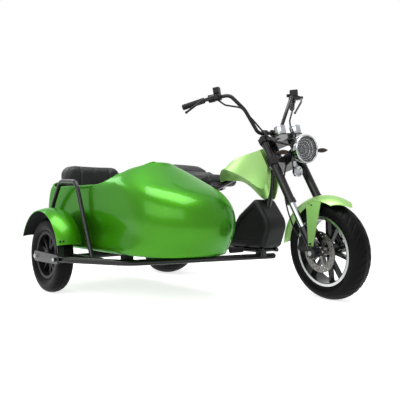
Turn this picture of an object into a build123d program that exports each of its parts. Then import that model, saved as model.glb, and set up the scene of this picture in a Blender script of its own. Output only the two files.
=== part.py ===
from build123d import *
import os
from math import cos, radians, sin

# Electric three-wheeler: a low cruiser motorcycle with a sidecar on its right side.
# Pieces are drawn about the front axle of the straight-ahead motorcycle: x forward, y left, z up
# from the road. The front end then takes its parked turn, and everything is placed about the
# middle of the vehicle's outline on the ground.

# Place of the front axle in the finished frame
FRONT_AXLE_X = 723
BIKE_Y = 350

# Stance
WHEELBASE = 1460
SIDE_TRACK = 1040
SIDE_LEAD = 290
RAKE = 30
PARKED_STEER = -10

# Wheels
FRONT_TYRE_R = 262
FRONT_TYRE_W = 120
FRONT_TYRE_H = 84
REAR_TYRE_R = 238
REAR_TYRE_W = 195
REAR_TYRE_H = 86
SIDE_TYRE_R = 215
SIDE_TYRE_W = 95
SIDE_TYRE_H = 88
BEAD_INSET = 20
RIM_LIP = 9
RIM_LIP_W = 6
RIM_WALL = 8
AXLE_R = 8
HUB_R = 34
HUB_HALF = 40
SPOKE_T = 26

# Clearances
SEAT_GAP = 0.3
TURN_FIT = 0.3
SLIDE_FIT = 0.1

# Front fork
LEG_Y = 100
CLAMP_OFFSET = 60
STANCHION_R = 17.5
SLEEVE_R = 24
TOP_TUBE_R = 19
LUG_R = 23
LUG_TOP = 150
SEAL_AT = 300
LOWER_CLAMP_AT = 545
LOWER_CLAMP_T = 45
UPPER_CLAMP_AT = 700
UPPER_CLAMP_T = 28
LEG_TOP = 742
STEM_R = 17
HEAD_R = 29
BEARING_GAP = 5
DISC_R = 110
DISC_BAND = 34
DISC_T = 5
DISC_Y = -62
CALIPER_GAP = 5

# Handlebar
BAR_R = 11
BAR_X = -430
BAR_RISE = 668
GRIP_R = 17
RISER_R = 14
RISER_Y = 33
RISER_H = 92
MIRROR_HOLE_R = 4
MIRROR_HOLE_DEPTH = 14

# Lamps and gauges
LAMP_X = -116
LAMP_RISE = 548
LAMP_R = 77
LAMP_DEPTH = 88
GAUGE_R = 31
GAUGE_DEPTH = 44
SIGNAL_R = 13
SIGNAL_ROOT = 110
SIGNAL_TIP = 190
HORN_R = 31

# Motorcycle frame and body
SPINE_R = 22
DOWN_TUBE_R = 23
RAIL_R = 13
RAIL_Y = 62
CASE_BOTTOM = 245
CASE_HALF_W = 88
PIVOT_X = -955
PIVOT_Z = 252
PIVOT_R = 19
SEAT_RAIL_Y = 86
SEAT_RAIL_Z = 600
SEAT_RAIL_END = -1500
ARM_Y = 118
ARM_T = 18
SHOCK_Y = 146
SHOCK_FOOT_X = -1395
SHOCK_FOOT_RISE = 24
REAR_GUARD_CLEAR = 26
GUARD_T = 4

# Sidecar
POD_Y = -620
POD_WALL = 8
POD_FLOOR = 245
POD_RIM = 610
SIDE_RAIL_R = 17
SIDE_RAIL_Z = 208
WHEEL_RAIL_Y = -950
HOOP_R = 12.5
SIDE_GUARD_CLEAR = 40
SIDE_GUARD_RISE = 16
SIDE_GUARD_HALF_W = 72
SIDE_PLATE_T = 8

FRONT_RIM_R = FRONT_TYRE_R - FRONT_TYRE_H
REAR_RIM_R = REAR_TYRE_R - REAR_TYRE_H
SIDE_RIM_R = SIDE_TYRE_R - SIDE_TYRE_H
REAR_GUARD_R = REAR_TYRE_R + REAR_GUARD_CLEAR
SIDE_GUARD_R = SIDE_TYRE_R + SIDE_GUARD_CLEAR
SHOCK_FOOT_Z = REAR_TYRE_R + SHOCK_FOOT_RISE
BAR_Z = FRONT_TYRE_R + BAR_RISE
LAMP_Z = FRONT_TYRE_R + LAMP_RISE
REAR_X = -WHEELBASE
SIDE_X = SIDE_LEAD - WHEELBASE
SIDE_Y = -SIDE_TRACK
UP = Vector(-sin(radians(RAKE)), 0, cos(radians(RAKE)))
AHEAD = Vector(cos(radians(RAKE)), 0, sin(radians(RAKE)))
FRONT_AXLE = Vector(0, 0, FRONT_TYRE_R)
STEER_BASE = FRONT_AXLE - AHEAD * CLAMP_OFFSET
STEER_AXIS = Axis(STEER_BASE, UP)
TO_FRAME = Location((FRONT_AXLE_X, BIKE_Y, 0))

os.makedirs("parts", exist_ok=True)


def keep(piece, name, steered=False):
    """Turns a front-end piece to the parked steering angle, places it and writes it."""
    shape = piece.rotate(STEER_AXIS, PARKED_STEER) if steered else piece
    shape = shape.moved(TO_FRAME)
    shape.label = name
    export_step(shape, f"parts/{name}.step")


def largest(made):
    """The one solid that is left when a cut trims scraps off a piece."""
    return made.part.solids().sort_by(SortBy.VOLUME)[-1]


def on_fork(along, ahead=0, side=0):
    """The plane across the fork at a distance up the legs: its x runs ahead and its y to the left."""
    origin = FRONT_AXLE + UP * along + AHEAD * ahead + Vector(0, side, 0)
    return Plane(origin=origin, x_dir=AHEAD, z_dir=UP)


def tube(points, bends, radius):
    """A round bar along straight runs joined by tangent bends."""
    with BuildPart() as made:
        with BuildLine() as route:
            if len(points) == 2:
                Line(*points)
            else:
                FilletPolyline(*points, radius=bends)
        with BuildSketch(Plane(origin=route.line @ 0, z_dir=route.line % 0)):
            Circle(radius)
        sweep(path=route.line)
    return made.part


def across(x, z, y=0):
    """The side-view plane at a given y, its x forward and its y up."""
    return Plane(origin=(x, y, z), x_dir=(1, 0, 0), z_dir=(0, -1, 0))


def mirrored(points):
    """The same points on the left side, in reverse order."""
    return [(x, -y, z) for x, y, z in reversed(points)]


# Tyres: a bead band, arced sidewalls and an arced tread, spun about the axle
def tyre(radius, width, rim_r, x, y, tread_share):
    bead = width / 2 - BEAD_INSET
    foot = rim_r + SEAT_GAP
    lip = rim_r + RIM_LIP + SEAT_GAP
    tread = width * tread_share / 2
    shoulder = radius - (width / 2 - tread) * 1.3
    with BuildPart() as made:
        with BuildSketch(Plane(origin=(x, y, radius), x_dir=(0, 1, 0), z_dir=(1, 0, 0))):
            with BuildLine():
                Line((-bead, foot), (-bead, lip))
                ThreePointArc((-bead, lip), (-width / 2, (lip + shoulder) / 2), (-tread, shoulder))
                ThreePointArc((-tread, shoulder), (0, radius), (tread, shoulder))
                ThreePointArc((tread, shoulder), (width / 2, (lip + shoulder) / 2), (bead, lip))
                Line((bead, lip), (bead, foot))
                Line((bead, foot), (-bead, foot))
            make_face()
        revolve(axis=Axis((x, y, radius), (0, 1, 0)))
    return made.part


# Cast wheels: a barrel with two lips, a hub, and twin spokes in a ring
def cast_wheel(radius, width, rim_r, x, y, hub_r, hub_half, pairs, splay, root_w, tip_w):
    bead = width / 2 - BEAD_INSET
    edge = bead + SEAT_GAP + RIM_LIP_W
    bore = AXLE_R + TURN_FIT
    inner = rim_r - RIM_WALL
    wheel_axis = Axis((x, y, radius), (0, 1, 0))
    with BuildPart() as made:
        with BuildSketch(Plane(origin=(x, y, radius), x_dir=(0, 1, 0), z_dir=(1, 0, 0))):
            with BuildLine():
                Polyline(
                    (-edge, inner), (edge, inner), (edge, rim_r + RIM_LIP),
                    (bead + SEAT_GAP, rim_r + RIM_LIP),
                    (bead + SEAT_GAP, rim_r), (-bead - SEAT_GAP, rim_r), (-bead - SEAT_GAP, rim_r + RIM_LIP),
                    (-edge, rim_r + RIM_LIP), (-edge, inner),
                )
            make_face()
            with Locations((0, (bore + hub_r) / 2)):
                Rectangle(2 * hub_half, hub_r - bore)
        revolve(axis=wheel_axis)
        with BuildSketch(across(x, radius, y)):
            for pair in range(pairs):
                for side in (-1, 1):
                    root = 360 / pairs * pair + side * splay * 0.35
                    tip = 360 / pairs * pair + side * splay
                    start = Vector(hub_r - 3, 0).rotate(Axis.Z, root)
                    end = Vector(inner + 3, 0).rotate(Axis.Z, tip)
                    aside = (end - start).normalized().rotate(Axis.Z, 90)
                    with BuildLine():
                        Polyline(
                            start + aside * root_w / 2, start - aside * root_w / 2,
                            end - aside * tip_w / 2, end + aside * tip_w / 2, close=True,
                        )
                    make_face()
        extrude(amount=SPOKE_T / 2, both=True)
    return made.part


keep(tyre(FRONT_TYRE_R, FRONT_TYRE_W, FRONT_RIM_R, 0, 0, 0.80), "front_tyre", True)
keep(tyre(REAR_TYRE_R, REAR_TYRE_W, REAR_RIM_R, REAR_X, 0, 0.86), "rear_tyre")
keep(tyre(SIDE_TYRE_R, SIDE_TYRE_W, SIDE_RIM_R, SIDE_X, SIDE_Y, 0.80), "sidecar_tyre")
keep(
    cast_wheel(FRONT_TYRE_R, FRONT_TYRE_W, FRONT_RIM_R, 0, 0, HUB_R, HUB_HALF, 5, 13, 17, 15),
    "front_wheel_casting", True,
)
keep(
    cast_wheel(SIDE_TYRE_R, SIDE_TYRE_W, SIDE_RIM_R, SIDE_X, SIDE_Y, HUB_R, 32, 5, 14, 15, 14),
    "sidecar_wheel_casting",
)

# Rear wheel: the motor fills the hub, with ribbed covers and a cast ring of short spokes
MOTOR_R = 104
MOTOR_HALF = 66
with BuildPart() as rear_casting:
    ring = cast_wheel(REAR_TYRE_R, REAR_TYRE_W, REAR_RIM_R, REAR_X, 0, MOTOR_R, MOTOR_HALF, 6, 9, 22, 18)
    add(ring)
    for side in (-1, 1):
        cover_at = (REAR_X, side * MOTOR_HALF, REAR_TYRE_R)
        with BuildSketch(Plane(origin=cover_at, x_dir=(1, 0, 0), z_dir=(0, side, 0))):
            Circle(70)
            Circle(58, mode=Mode.SUBTRACT)
            Circle(34)
            Circle(AXLE_R + TURN_FIT, mode=Mode.SUBTRACT)
        extrude(amount=8)
keep(rear_casting.part, "rear_wheel_motor")

# Front brake disc: a drilled band on a five-armed carrier that seats on the hub's end
with BuildPart() as disc:
    with BuildSketch(across(0, FRONT_TYRE_R, DISC_Y + DISC_T / 2)):
        Circle(DISC_R)
        Circle(DISC_R - DISC_BAND, mode=Mode.SUBTRACT)
        with PolarLocations(DISC_R - 11, 18):
            Circle(4, mode=Mode.SUBTRACT)
        with PolarLocations(DISC_R - 24, 18, start_angle=10):
            Circle(4, mode=Mode.SUBTRACT)
    extrude(amount=DISC_T)
    with BuildSketch(across(0, FRONT_TYRE_R, -HUB_HALF)):
        Circle(HUB_R)
        Circle(AXLE_R + TURN_FIT, mode=Mode.SUBTRACT)
        with PolarLocations((HUB_R + DISC_R - DISC_BAND) / 2, 5):
            Rectangle(DISC_R - DISC_BAND - HUB_R + 8, 18)
    extrude(amount=-DISC_Y - HUB_HALF)
keep(disc.part, "front_brake_disc", True)

# Front axle with its spacers and end nuts
AXLE_END = LEG_Y + 34
NUT_T = 10
SPACER_R = 14
LUG_HALF = 24
with BuildPart() as front_axle:
    with BuildSketch(across(0, FRONT_TYRE_R)):
        Circle(AXLE_R)
    extrude(amount=AXLE_END, both=True)
    with BuildSketch(across(0, FRONT_TYRE_R, -LEG_Y - LUG_HALF)):
        RegularPolygon(14, 6)
    extrude(amount=NUT_T)
    with BuildSketch(across(0, FRONT_TYRE_R, LEG_Y + LUG_HALF + NUT_T)):
        RegularPolygon(14, 6)
    extrude(amount=NUT_T)
    with BuildSketch(across(0, FRONT_TYRE_R, DISC_Y - TURN_FIT)):
        Circle(SPACER_R)
    extrude(amount=LEG_Y - LUG_HALF + DISC_Y - TURN_FIT)
    with BuildSketch(across(0, FRONT_TYRE_R, LEG_Y - LUG_HALF)):
        Circle(SPACER_R)
    extrude(amount=LEG_Y - LUG_HALF - HUB_HALF - TURN_FIT)
keep(front_axle.part, "front_axle", True)

# Fork legs: plated lower tubes in black castings below and black sleeves above
with BuildPart() as stanchions:
    with BuildSketch(on_fork(LUG_TOP, 0, -LEG_Y)):
        Circle(STANCHION_R)
    extrude(amount=SEAL_AT - LUG_TOP)
    mirror(about=Plane.XZ)
keep(stanchions.part, "fork_stanchions", True)

with BuildPart() as sleeves:
    with BuildSketch(on_fork(SEAL_AT, 0, -LEG_Y)):
        Circle(SLEEVE_R)
    extrude(amount=LOWER_CLAMP_AT - SEAL_AT)
    with BuildSketch(on_fork(SEAL_AT, 0, -LEG_Y)):
        Circle(SLEEVE_R + 3)
    extrude(amount=22)
    with BuildSketch(on_fork(LOWER_CLAMP_AT, 0, -LEG_Y)):
        Circle(TOP_TUBE_R)
    extrude(amount=LEG_TOP - LOWER_CLAMP_AT)
    mirror(about=Plane.XZ)
    chamfer(sleeves.edges().filter_by(GeomType.CIRCLE).group_by(Axis.Z)[-1], 4)
keep(sleeves.part, "fork_sleeves", True)

STUD_R = 6
STUD_X = 4
STUD_Z = FRONT_TYRE_R + 50
STUD_END = LEG_Y + 34
CALIPER_ANGLE = 163
CALIPER_AT = 106
caliper_x = CALIPER_AT * cos(radians(CALIPER_ANGLE))
caliper_z = FRONT_TYRE_R + CALIPER_AT * sin(radians(CALIPER_ANGLE))
with BuildPart() as lugs:
    with BuildSketch(on_fork(0, 0, -LEG_Y)):
        Circle(LUG_R)
    extrude(amount=LUG_TOP)
    with BuildSketch(across(0, FRONT_TYRE_R, -LEG_Y + LUG_HALF)):
        Circle(28)
    extrude(amount=2 * LUG_HALF)
    with BuildSketch(across(STUD_X, STUD_Z, -LEG_Y)):
        Circle(STUD_R)
    extrude(amount=STUD_END - LEG_Y)
    mirror(about=Plane.XZ)
    with BuildSketch(across(0, 0, -LEG_Y + 10)):
        with BuildLine():
            Polyline(
                (-20, FRONT_TYRE_R - 4), (caliper_x - 14, caliper_z - 20), (caliper_x - 16, caliper_z + 22),
                (-62, FRONT_TYRE_R + 108), (-30, FRONT_TYRE_R + 52), close=True,
            )
        make_face()
    extrude(amount=9)
    with BuildSketch(across(0, FRONT_TYRE_R)):
        Circle(AXLE_R + SLIDE_FIT)
    extrude(amount=AXLE_END, both=True, mode=Mode.SUBTRACT)
keep(lugs.part, "fork_lugs", True)

# Brake caliper: a rounded body with a slot for the disc
with BuildPart() as caliper:
    with BuildSketch(across(0, FRONT_TYRE_R, DISC_Y + 24)):
        with Locations(Location((0, 0, 0), CALIPER_ANGLE)):
            with Locations((CALIPER_AT + 4, 0)):
                RectangleRounded(50, 72, 14)
    extrude(amount=LEG_Y - 10 + DISC_Y + 24 - SEAT_GAP)
    with BuildSketch(across(0, FRONT_TYRE_R, DISC_Y + DISC_T / 2 + CALIPER_GAP)):
        Circle(DISC_R + CALIPER_GAP)
    extrude(amount=DISC_T + 2 * CALIPER_GAP, mode=Mode.SUBTRACT)
keep(caliper.part, "front_caliper", True)

# Lower clamp with the steering stem, and the upper clamp with the handlebar risers
with BuildPart() as lower_clamp:
    with BuildSketch(on_fork(LOWER_CLAMP_AT)):
        with BuildLine():
            Polyline(
                (-CLAMP_OFFSET - 34, -30), (-16, -LEG_Y - 32), (22, -LEG_Y - 32), (32, -LEG_Y + 10),
                (10, 0), (32, LEG_Y - 10), (22, LEG_Y + 32), (-16, LEG_Y + 32),
                (-CLAMP_OFFSET - 34, 30), close=True,
            )
        make_face()
    extrude(amount=LOWER_CLAMP_T)
    with BuildSketch(on_fork(LOWER_CLAMP_AT)):
        with Locations((0, -LEG_Y), (0, LEG_Y)):
            Circle(TOP_TUBE_R)
    extrude(amount=LOWER_CLAMP_T, mode=Mode.SUBTRACT)
    with BuildSketch(on_fork(LOWER_CLAMP_AT, -CLAMP_OFFSET)):
        Circle(STEM_R)
    extrude(amount=UPPER_CLAMP_AT + UPPER_CLAMP_T + 8 - LOWER_CLAMP_AT)
keep(lower_clamp.part, "lower_clamp", True)

with BuildPart() as upper_clamp:
    with BuildSketch(on_fork(UPPER_CLAMP_AT)):
        with BuildLine():
            Polyline(
                (-CLAMP_OFFSET - 32, -34), (-16, -LEG_Y - 28), (20, -LEG_Y - 28), (28, -LEG_Y + 10),
                (4, 0), (28, LEG_Y - 10), (20, LEG_Y + 28), (-16, LEG_Y + 28),
                (-CLAMP_OFFSET - 32, 34), close=True,
            )
        make_face()
    extrude(amount=UPPER_CLAMP_T)
    with BuildSketch(on_fork(UPPER_CLAMP_AT)):
        with Locations((0, -LEG_Y), (0, LEG_Y)):
            Circle(TOP_TUBE_R)
        with Locations((-CLAMP_OFFSET, 0)):
            Circle(STEM_R)
    extrude(amount=UPPER_CLAMP_T, mode=Mode.SUBTRACT)
    with BuildSketch(Plane(origin=(BAR_X, 0, BAR_Z - RISER_H))):
        with Locations((0, -RISER_Y), (0, RISER_Y)):
            Circle(RISER_R)
    extrude(amount=RISER_H)
    with BuildSketch(across(BAR_X, BAR_Z, RISER_Y + RISER_R)):
        Circle(BAR_R + 9)
    extrude(amount=2 * RISER_R)
    with BuildSketch(across(BAR_X, BAR_Z, -RISER_Y + RISER_R)):
        Circle(BAR_R + 9)
    extrude(amount=2 * RISER_R)
    with BuildSketch(across(BAR_X, BAR_Z)):
        Circle(BAR_R + SLIDE_FIT)
    extrude(amount=2 * RISER_Y, both=True, mode=Mode.SUBTRACT)
keep(upper_clamp.part, "upper_clamp", True)

# Handlebar: raised and swept back, right half listed from the centre outwards
BAR_RIGHT = [
    (BAR_X, -80, BAR_Z), (-440, -160, BAR_Z + 140), (-475, -235, BAR_Z + 230),
    (-577, -330, BAR_Z + 219), (-690, -424, BAR_Z + 190),
]
BAR_BENDS = [45, 150, 50, 150]
bar_route = list(reversed(BAR_RIGHT)) + mirrored(list(reversed(BAR_RIGHT)))
handlebar = tube(bar_route, list(reversed(BAR_BENDS)) + BAR_BENDS, BAR_R)
keep(handlebar, "handlebar", True)


def on_bar(start, end, distance):
    """The plane across the bar along one of its runs: its x points ahead and out, its y up."""
    a = Vector(*start)
    run = (Vector(*end) - a).normalized()
    level = Vector(0, 0, 1).cross(run).normalized()
    return Plane(origin=a + run * distance, x_dir=level, z_dir=run)


PERCH_RUN = (BAR_RIGHT[2], BAR_RIGHT[3])
GRIP_RUN = (BAR_RIGHT[3], BAR_RIGHT[4])
PERCH_AT = 52
PERCH_LENGTH = 34
SWITCH_AT = 92
SWITCH_LENGTH = 34
GRIP_AT = 16
GRIP_CAP = 4
run_length = (Vector(*GRIP_RUN[1]) - Vector(*GRIP_RUN[0])).length

with BuildPart() as grips:
    with BuildSketch(on_bar(*GRIP_RUN, GRIP_AT)):
        Circle(GRIP_R)
        Circle(BAR_R + SLIDE_FIT, mode=Mode.SUBTRACT)
    extrude(amount=run_length - GRIP_AT + SLIDE_FIT)
    with BuildSketch(on_bar(*GRIP_RUN, run_length + SLIDE_FIT)):
        Circle(GRIP_R)
    extrude(amount=GRIP_CAP)
    mirror(about=Plane.XZ)
keep(grips.part, "grips", True)

with BuildPart() as switch_pods:
    with BuildSketch(on_bar(*PERCH_RUN, SWITCH_AT)):
        RectangleRounded(44, 44, 15)
        Circle(BAR_R + SLIDE_FIT, mode=Mode.SUBTRACT)
    extrude(amount=SWITCH_LENGTH)
    mirror(about=Plane.XZ)
keep(switch_pods.part, "switch_pods", True)

# Brake perches: bar clamp, cylinder body, fluid box and the threaded mirror boss
perch_plane = on_bar(*PERCH_RUN, PERCH_AT)
LEVER_SIDE = 38
with BuildPart() as perches:
    with BuildSketch(perch_plane):
        RectangleRounded(38, 38, 12)
        with Locations((LEVER_SIDE - 8, 2)):
            RectangleRounded(46, 22, 8)
        with Locations((14, 36)):
            RectangleRounded(52, 38, 6)
        Circle(BAR_R + SLIDE_FIT, mode=Mode.SUBTRACT)
    extrude(amount=PERCH_LENGTH)
    boss_at = perch_plane.from_local_coords(Vector(-22, 14, PERCH_LENGTH / 2))
    with BuildSketch(Plane(origin=boss_at)):
        Circle(11)
    extrude(amount=18)
    with BuildSketch(Plane(origin=boss_at + Vector(0, 0, 18))):
        Circle(MIRROR_HOLE_R)
    extrude(amount=-MIRROR_HOLE_DEPTH, mode=Mode.SUBTRACT)
    mirror(about=Plane.XZ)
keep(perches.part, "brake_perches", True)

# Brake levers: a flat bent blade from the perch, in front of the grip
pivot = perch_plane.from_local_coords(Vector(LEVER_SIDE + 15 + 7, 2, PERCH_LENGTH / 2))
LEVER_TIP = Vector(-662, -424, BAR_Z + 156)
LEVER_R = 6.5
lever_knee = pivot + (LEVER_TIP - pivot) * 0.4 + Vector(12, -12, 12)
with BuildPart() as levers:
    add(tube([tuple(pivot), tuple(lever_knee), tuple(LEVER_TIP)], 60, LEVER_R))
    with Locations(Location(LEVER_TIP)):
        Sphere(LEVER_R + 2)
    with BuildSketch(Plane(origin=pivot, x_dir=perch_plane.x_dir, z_dir=perch_plane.y_dir)):
        Circle(11)
    extrude(amount=7, both=True)
    add(perches.part, mode=Mode.SUBTRACT)
    mirror(about=Plane.XZ)
keep(levers.part, "brake_levers", True)

# Headlamp: a plated bowl with a glass in its mouth
with BuildPart() as lamp_shell:
    with BuildSketch(Plane.XZ):
        with BuildLine():
            Polyline((LAMP_X, LAMP_Z + LAMP_R - 7), (LAMP_X, LAMP_Z + LAMP_R), (LAMP_X - 16, LAMP_Z + LAMP_R))
            ThreePointArc(
                (LAMP_X - 16, LAMP_Z + LAMP_R), (LAMP_X - 62, LAMP_Z + LAMP_R * 0.74),
                (LAMP_X - LAMP_DEPTH, LAMP_Z + 24),
            )
            Polyline(
                (LAMP_X - LAMP_DEPTH, LAMP_Z + 24), (LAMP_X - LAMP_DEPTH, LAMP_Z),
                (LAMP_X - LAMP_DEPTH + 8, LAMP_Z),
            )
            ThreePointArc(
                (LAMP_X - LAMP_DEPTH + 8, LAMP_Z), (LAMP_X - 58, LAMP_Z + LAMP_R * 0.62),
                (LAMP_X, LAMP_Z + LAMP_R - 7),
            )
        make_face()
    revolve(axis=Axis((0, 0, LAMP_Z), (1, 0, 0)))
keep(lamp_shell.part, "headlamp_shell", True)

GLASS_RISE = 8
GLASS_T = 4
with BuildPart() as lamp_glass:
    glass_r = LAMP_R - 7 - SEAT_GAP
    glass_curve = (glass_r ** 2 + GLASS_RISE ** 2) / (2 * GLASS_RISE)
    with BuildSketch(Plane.XZ):
        with BuildLine():
            Polyline(
                (LAMP_X + GLASS_RISE, LAMP_Z), (LAMP_X - GLASS_T, LAMP_Z),
                (LAMP_X - GLASS_T, LAMP_Z + glass_r), (LAMP_X, LAMP_Z + glass_r),
            )
            RadiusArc((LAMP_X, LAMP_Z + glass_r), (LAMP_X + GLASS_RISE, LAMP_Z), glass_curve)
        make_face()
    revolve(axis=Axis((0, 0, LAMP_Z), (1, 0, 0)))
keep(lamp_glass.part, "headlamp_glass", True)

# Lamp bracket: a bent plate from the lower clamp to the bowl, with the signal stalks and the horn arm
STALK_R = 7
clamp_front = on_fork(LOWER_CLAMP_AT + LOWER_CLAMP_T, 10).origin
with BuildPart() as lamp_bracket:
    with BuildSketch(Plane.XZ):
        with BuildLine():
            Polyline(
                (clamp_front.X - 40, clamp_front.Z - 20), (clamp_front.X, clamp_front.Z + 8),
                (LAMP_X - LAMP_DEPTH - SEAT_GAP, LAMP_Z + 18), (LAMP_X - LAMP_DEPTH - SEAT_GAP, LAMP_Z - 20),
                (LAMP_X - LAMP_DEPTH - 22, LAMP_Z - 62), (clamp_front.X + 18, clamp_front.Z - 52), close=True,
            )
        make_face()
    extrude(amount=22, both=True)
    add(lower_clamp.part, mode=Mode.SUBTRACT)
    stalk = [(LAMP_X - LAMP_DEPTH - 22, -12, LAMP_Z - 20), (LAMP_X - 30, -SIGNAL_ROOT - 12, LAMP_Z - 10)]
    add(tube(stalk, 0, STALK_R))
    add(tube(mirrored(stalk), 0, STALK_R))
keep(lamp_bracket.part, "lamp_bracket", True)

with BuildPart() as signals:
    with BuildSketch(Plane.XY.offset(LAMP_Z - 10)):
        with BuildLine():
            Polyline(
                (LAMP_X - 30, -SIGNAL_TIP), (LAMP_X - 30, -SIGNAL_ROOT),
                (LAMP_X - 30 + STALK_R, -SIGNAL_ROOT),
            )
            ThreePointArc(
                (LAMP_X - 30 + STALK_R, -SIGNAL_ROOT), (LAMP_X - 30 + SIGNAL_R, -SIGNAL_ROOT - 28),
                (LAMP_X - 30, -SIGNAL_TIP),
            )
        make_face()
    revolve(axis=Axis((LAMP_X - 30, 0, LAMP_Z - 10), (0, 1, 0)))
    mirror(about=Plane.XZ)
    add(lamp_bracket.part, mode=Mode.SUBTRACT)
keep(signals.part, "front_signals", True)

HORN_X = -196
HORN_Z = 690
with BuildPart() as horn:
    with BuildSketch(Plane.XZ):
        with BuildLine():
            Polyline(
                (HORN_X, HORN_Z), (HORN_X, HORN_Z + HORN_R * 0.5), (HORN_X + 6, HORN_Z + HORN_R * 0.8),
                (HORN_X + 4, HORN_Z + HORN_R), (HORN_X - 12, HORN_Z + HORN_R), (HORN_X - 30, HORN_Z + 16),
                (HORN_X - 30, HORN_Z), close=True,
            )
        make_face()
    revolve(axis=Axis((0, 0, HORN_Z), (1, 0, 0)))
    with BuildSketch(Plane.XZ):
        with BuildLine():
            Polyline(
                (HORN_X - 24, HORN_Z - 6), (HORN_X - 24, HORN_Z + 60), (HORN_X - 34, HORN_Z + 60),
                (HORN_X - 34, HORN_Z - 6), close=True,
            )
        make_face()
    extrude(amount=10, both=True)
    add(lamp_bracket.part, mode=Mode.SUBTRACT)
    add(lower_clamp.part, mode=Mode.SUBTRACT)
keep(horn.part, "horn", True)

# Twin gauges: plated cups on a plate that reaches forward from the upper clamp
GAUGE_X = -265
GAUGE_Y = 56
GAUGE_Z = 946
GAUGE_TILT = 15
gauge_up = Vector(-sin(radians(GAUGE_TILT)), 0, cos(radians(GAUGE_TILT)))
gauge_ahead = Vector(cos(radians(GAUGE_TILT)), 0, sin(radians(GAUGE_TILT)))


def on_gauge(depth, side):
    """The plane across a gauge at a depth below its face."""
    origin = Vector(GAUGE_X, side, GAUGE_Z) - gauge_up * depth
    return Plane(origin=origin, x_dir=gauge_ahead, z_dir=gauge_up)


with BuildPart() as gauges:
    with BuildSketch(on_gauge(GAUGE_DEPTH, -GAUGE_Y)):
        Circle(GAUGE_R - 4)
    with BuildSketch(on_gauge(GAUGE_DEPTH - 14, -GAUGE_Y)):
        Circle(GAUGE_R)
    loft()
    with BuildSketch(on_gauge(GAUGE_DEPTH - 14, -GAUGE_Y)):
        Circle(GAUGE_R)
    extrude(amount=GAUGE_DEPTH - 14)
    with BuildSketch(on_gauge(0, -GAUGE_Y)):
        Circle(GAUGE_R - 4)
    extrude(amount=-5, mode=Mode.SUBTRACT)
    mirror(about=Plane.XZ)
keep(gauges.part, "gauge_cups", True)

with BuildPart() as gauge_faces:
    with BuildSketch(on_gauge(5, -GAUGE_Y)):
        Circle(GAUGE_R - 4 - SLIDE_FIT)
    extrude(amount=3)
    mirror(about=Plane.XZ)
keep(gauge_faces.part, "gauge_faces", True)

GAUGE_PLATE_T = 6
plate_top = on_gauge(GAUGE_DEPTH + SLIDE_FIT, 0)
with BuildPart() as gauge_plate:
    with BuildSketch(plate_top):
        with BuildLine():
            Polyline(
                (-108, -26), (-40, -26), (-30, -GAUGE_Y - 24), (24, -GAUGE_Y - 24), (24, GAUGE_Y + 24),
                (-30, GAUGE_Y + 24), (-40, 26), (-108, 26), close=True,
            )
        make_face()
    extrude(amount=-GAUGE_PLATE_T)
    add(upper_clamp.part, mode=Mode.SUBTRACT)
keep(gauge_plate.part, "gauge_plate", True)

# Front fender: a crowned band over the tyre with a beak, and two plates down to the fork castings
FENDER_CLEAR = 33
FENDER_R = FRONT_TYRE_R + FENDER_CLEAR
FENDER_DROP = 25
FENDER_HALF_W = 74
FENDER_T = 4
FENDER_REAR = 174
FENDER_FRONT = 52
PLATE_TOP_Z = FRONT_TYRE_R + 280
PLATE_FOOT_Z = FRONT_TYRE_R + 38
PLATE_T = 4
plate_foot_y = LEG_Y + LUG_R + 1


def guard(axle_x, centre_y, axle_z, radius, drop, half_w, thickness, front, rear):
    """A fender: its crowned section spun about the wheel's axle line, from a rear to a front angle."""
    out = Vector(cos(radians(rear)), 0, sin(radians(rear)))
    across_wheel = Vector(0, 1, 0)
    rear_plane = Plane(origin=(axle_x, centre_y, axle_z), x_dir=across_wheel, z_dir=across_wheel.cross(out))
    with BuildPart() as made:
        with BuildSketch(rear_plane):
            with BuildLine():
                ThreePointArc((-half_w, radius - drop), (0, radius), (half_w, radius - drop))
                Line((half_w, radius - drop), (half_w - 1, radius - drop - thickness))
                ThreePointArc(
                    (half_w - 1, radius - drop - thickness), (0, radius - thickness),
                    (-half_w + 1, radius - drop - thickness),
                )
                Line((-half_w + 1, radius - drop - thickness), (-half_w, radius - drop))
            make_face()
        revolve(axis=Axis((axle_x, centre_y, axle_z), (0, 1, 0)), revolution_arc=rear - front)
    return made.part


PLATE_TOP_Y = 66
PLATE_REACH = 273
plate_lean = Vector(0, plate_foot_y - PLATE_TOP_Y, PLATE_TOP_Z - PLATE_FOOT_Z).normalized()
plate_plane = Plane(
    origin=(0, -PLATE_TOP_Y, PLATE_TOP_Z), x_dir=(1, 0, 0), z_dir=(0, -plate_lean.Z, plate_lean.Y),
)
plate_run = (PLATE_TOP_Z - PLATE_FOOT_Z) / plate_lean.Z
with BuildPart() as plates:
    with BuildSketch(plate_plane):
        with BuildLine():
            Polyline((-72, 0), (44, 0), (22, -plate_run), (-12, -plate_run), close=True)
        make_face()
        with Locations((-38, -28)):
            SlotOverall(44, 11, rotation=-20, mode=Mode.SUBTRACT)
    extrude(amount=PLATE_T)
    with BuildSketch(across(STUD_X, STUD_Z)):
        Circle(STUD_R + SEAT_GAP)
    extrude(amount=2 * LEG_Y, both=True, mode=Mode.SUBTRACT)
    mirror(about=Plane.XZ)
    with BuildSketch(across(0, FRONT_TYRE_R)):
        Circle(PLATE_REACH)
    extrude(amount=2 * LEG_Y, both=True, mode=Mode.INTERSECT)

with BuildPart() as front_fender:
    add(guard(
        0, 0, FRONT_TYRE_R, FENDER_R, FENDER_DROP, FENDER_HALF_W, FENDER_T, FENDER_FRONT, FENDER_REAR,
    ))
    for side in (-1, 1):
        with BuildSketch(Plane.XY.offset(FRONT_TYRE_R)):
            with BuildLine():
                Polyline((90, side * 90), (205, side * 90), (205, side * 3), (182, side * 5), close=True)
            make_face()
        extrude(amount=FENDER_R, mode=Mode.SUBTRACT)
    add(plates.part)
keep(front_fender.part, "front_fender", True)

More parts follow.
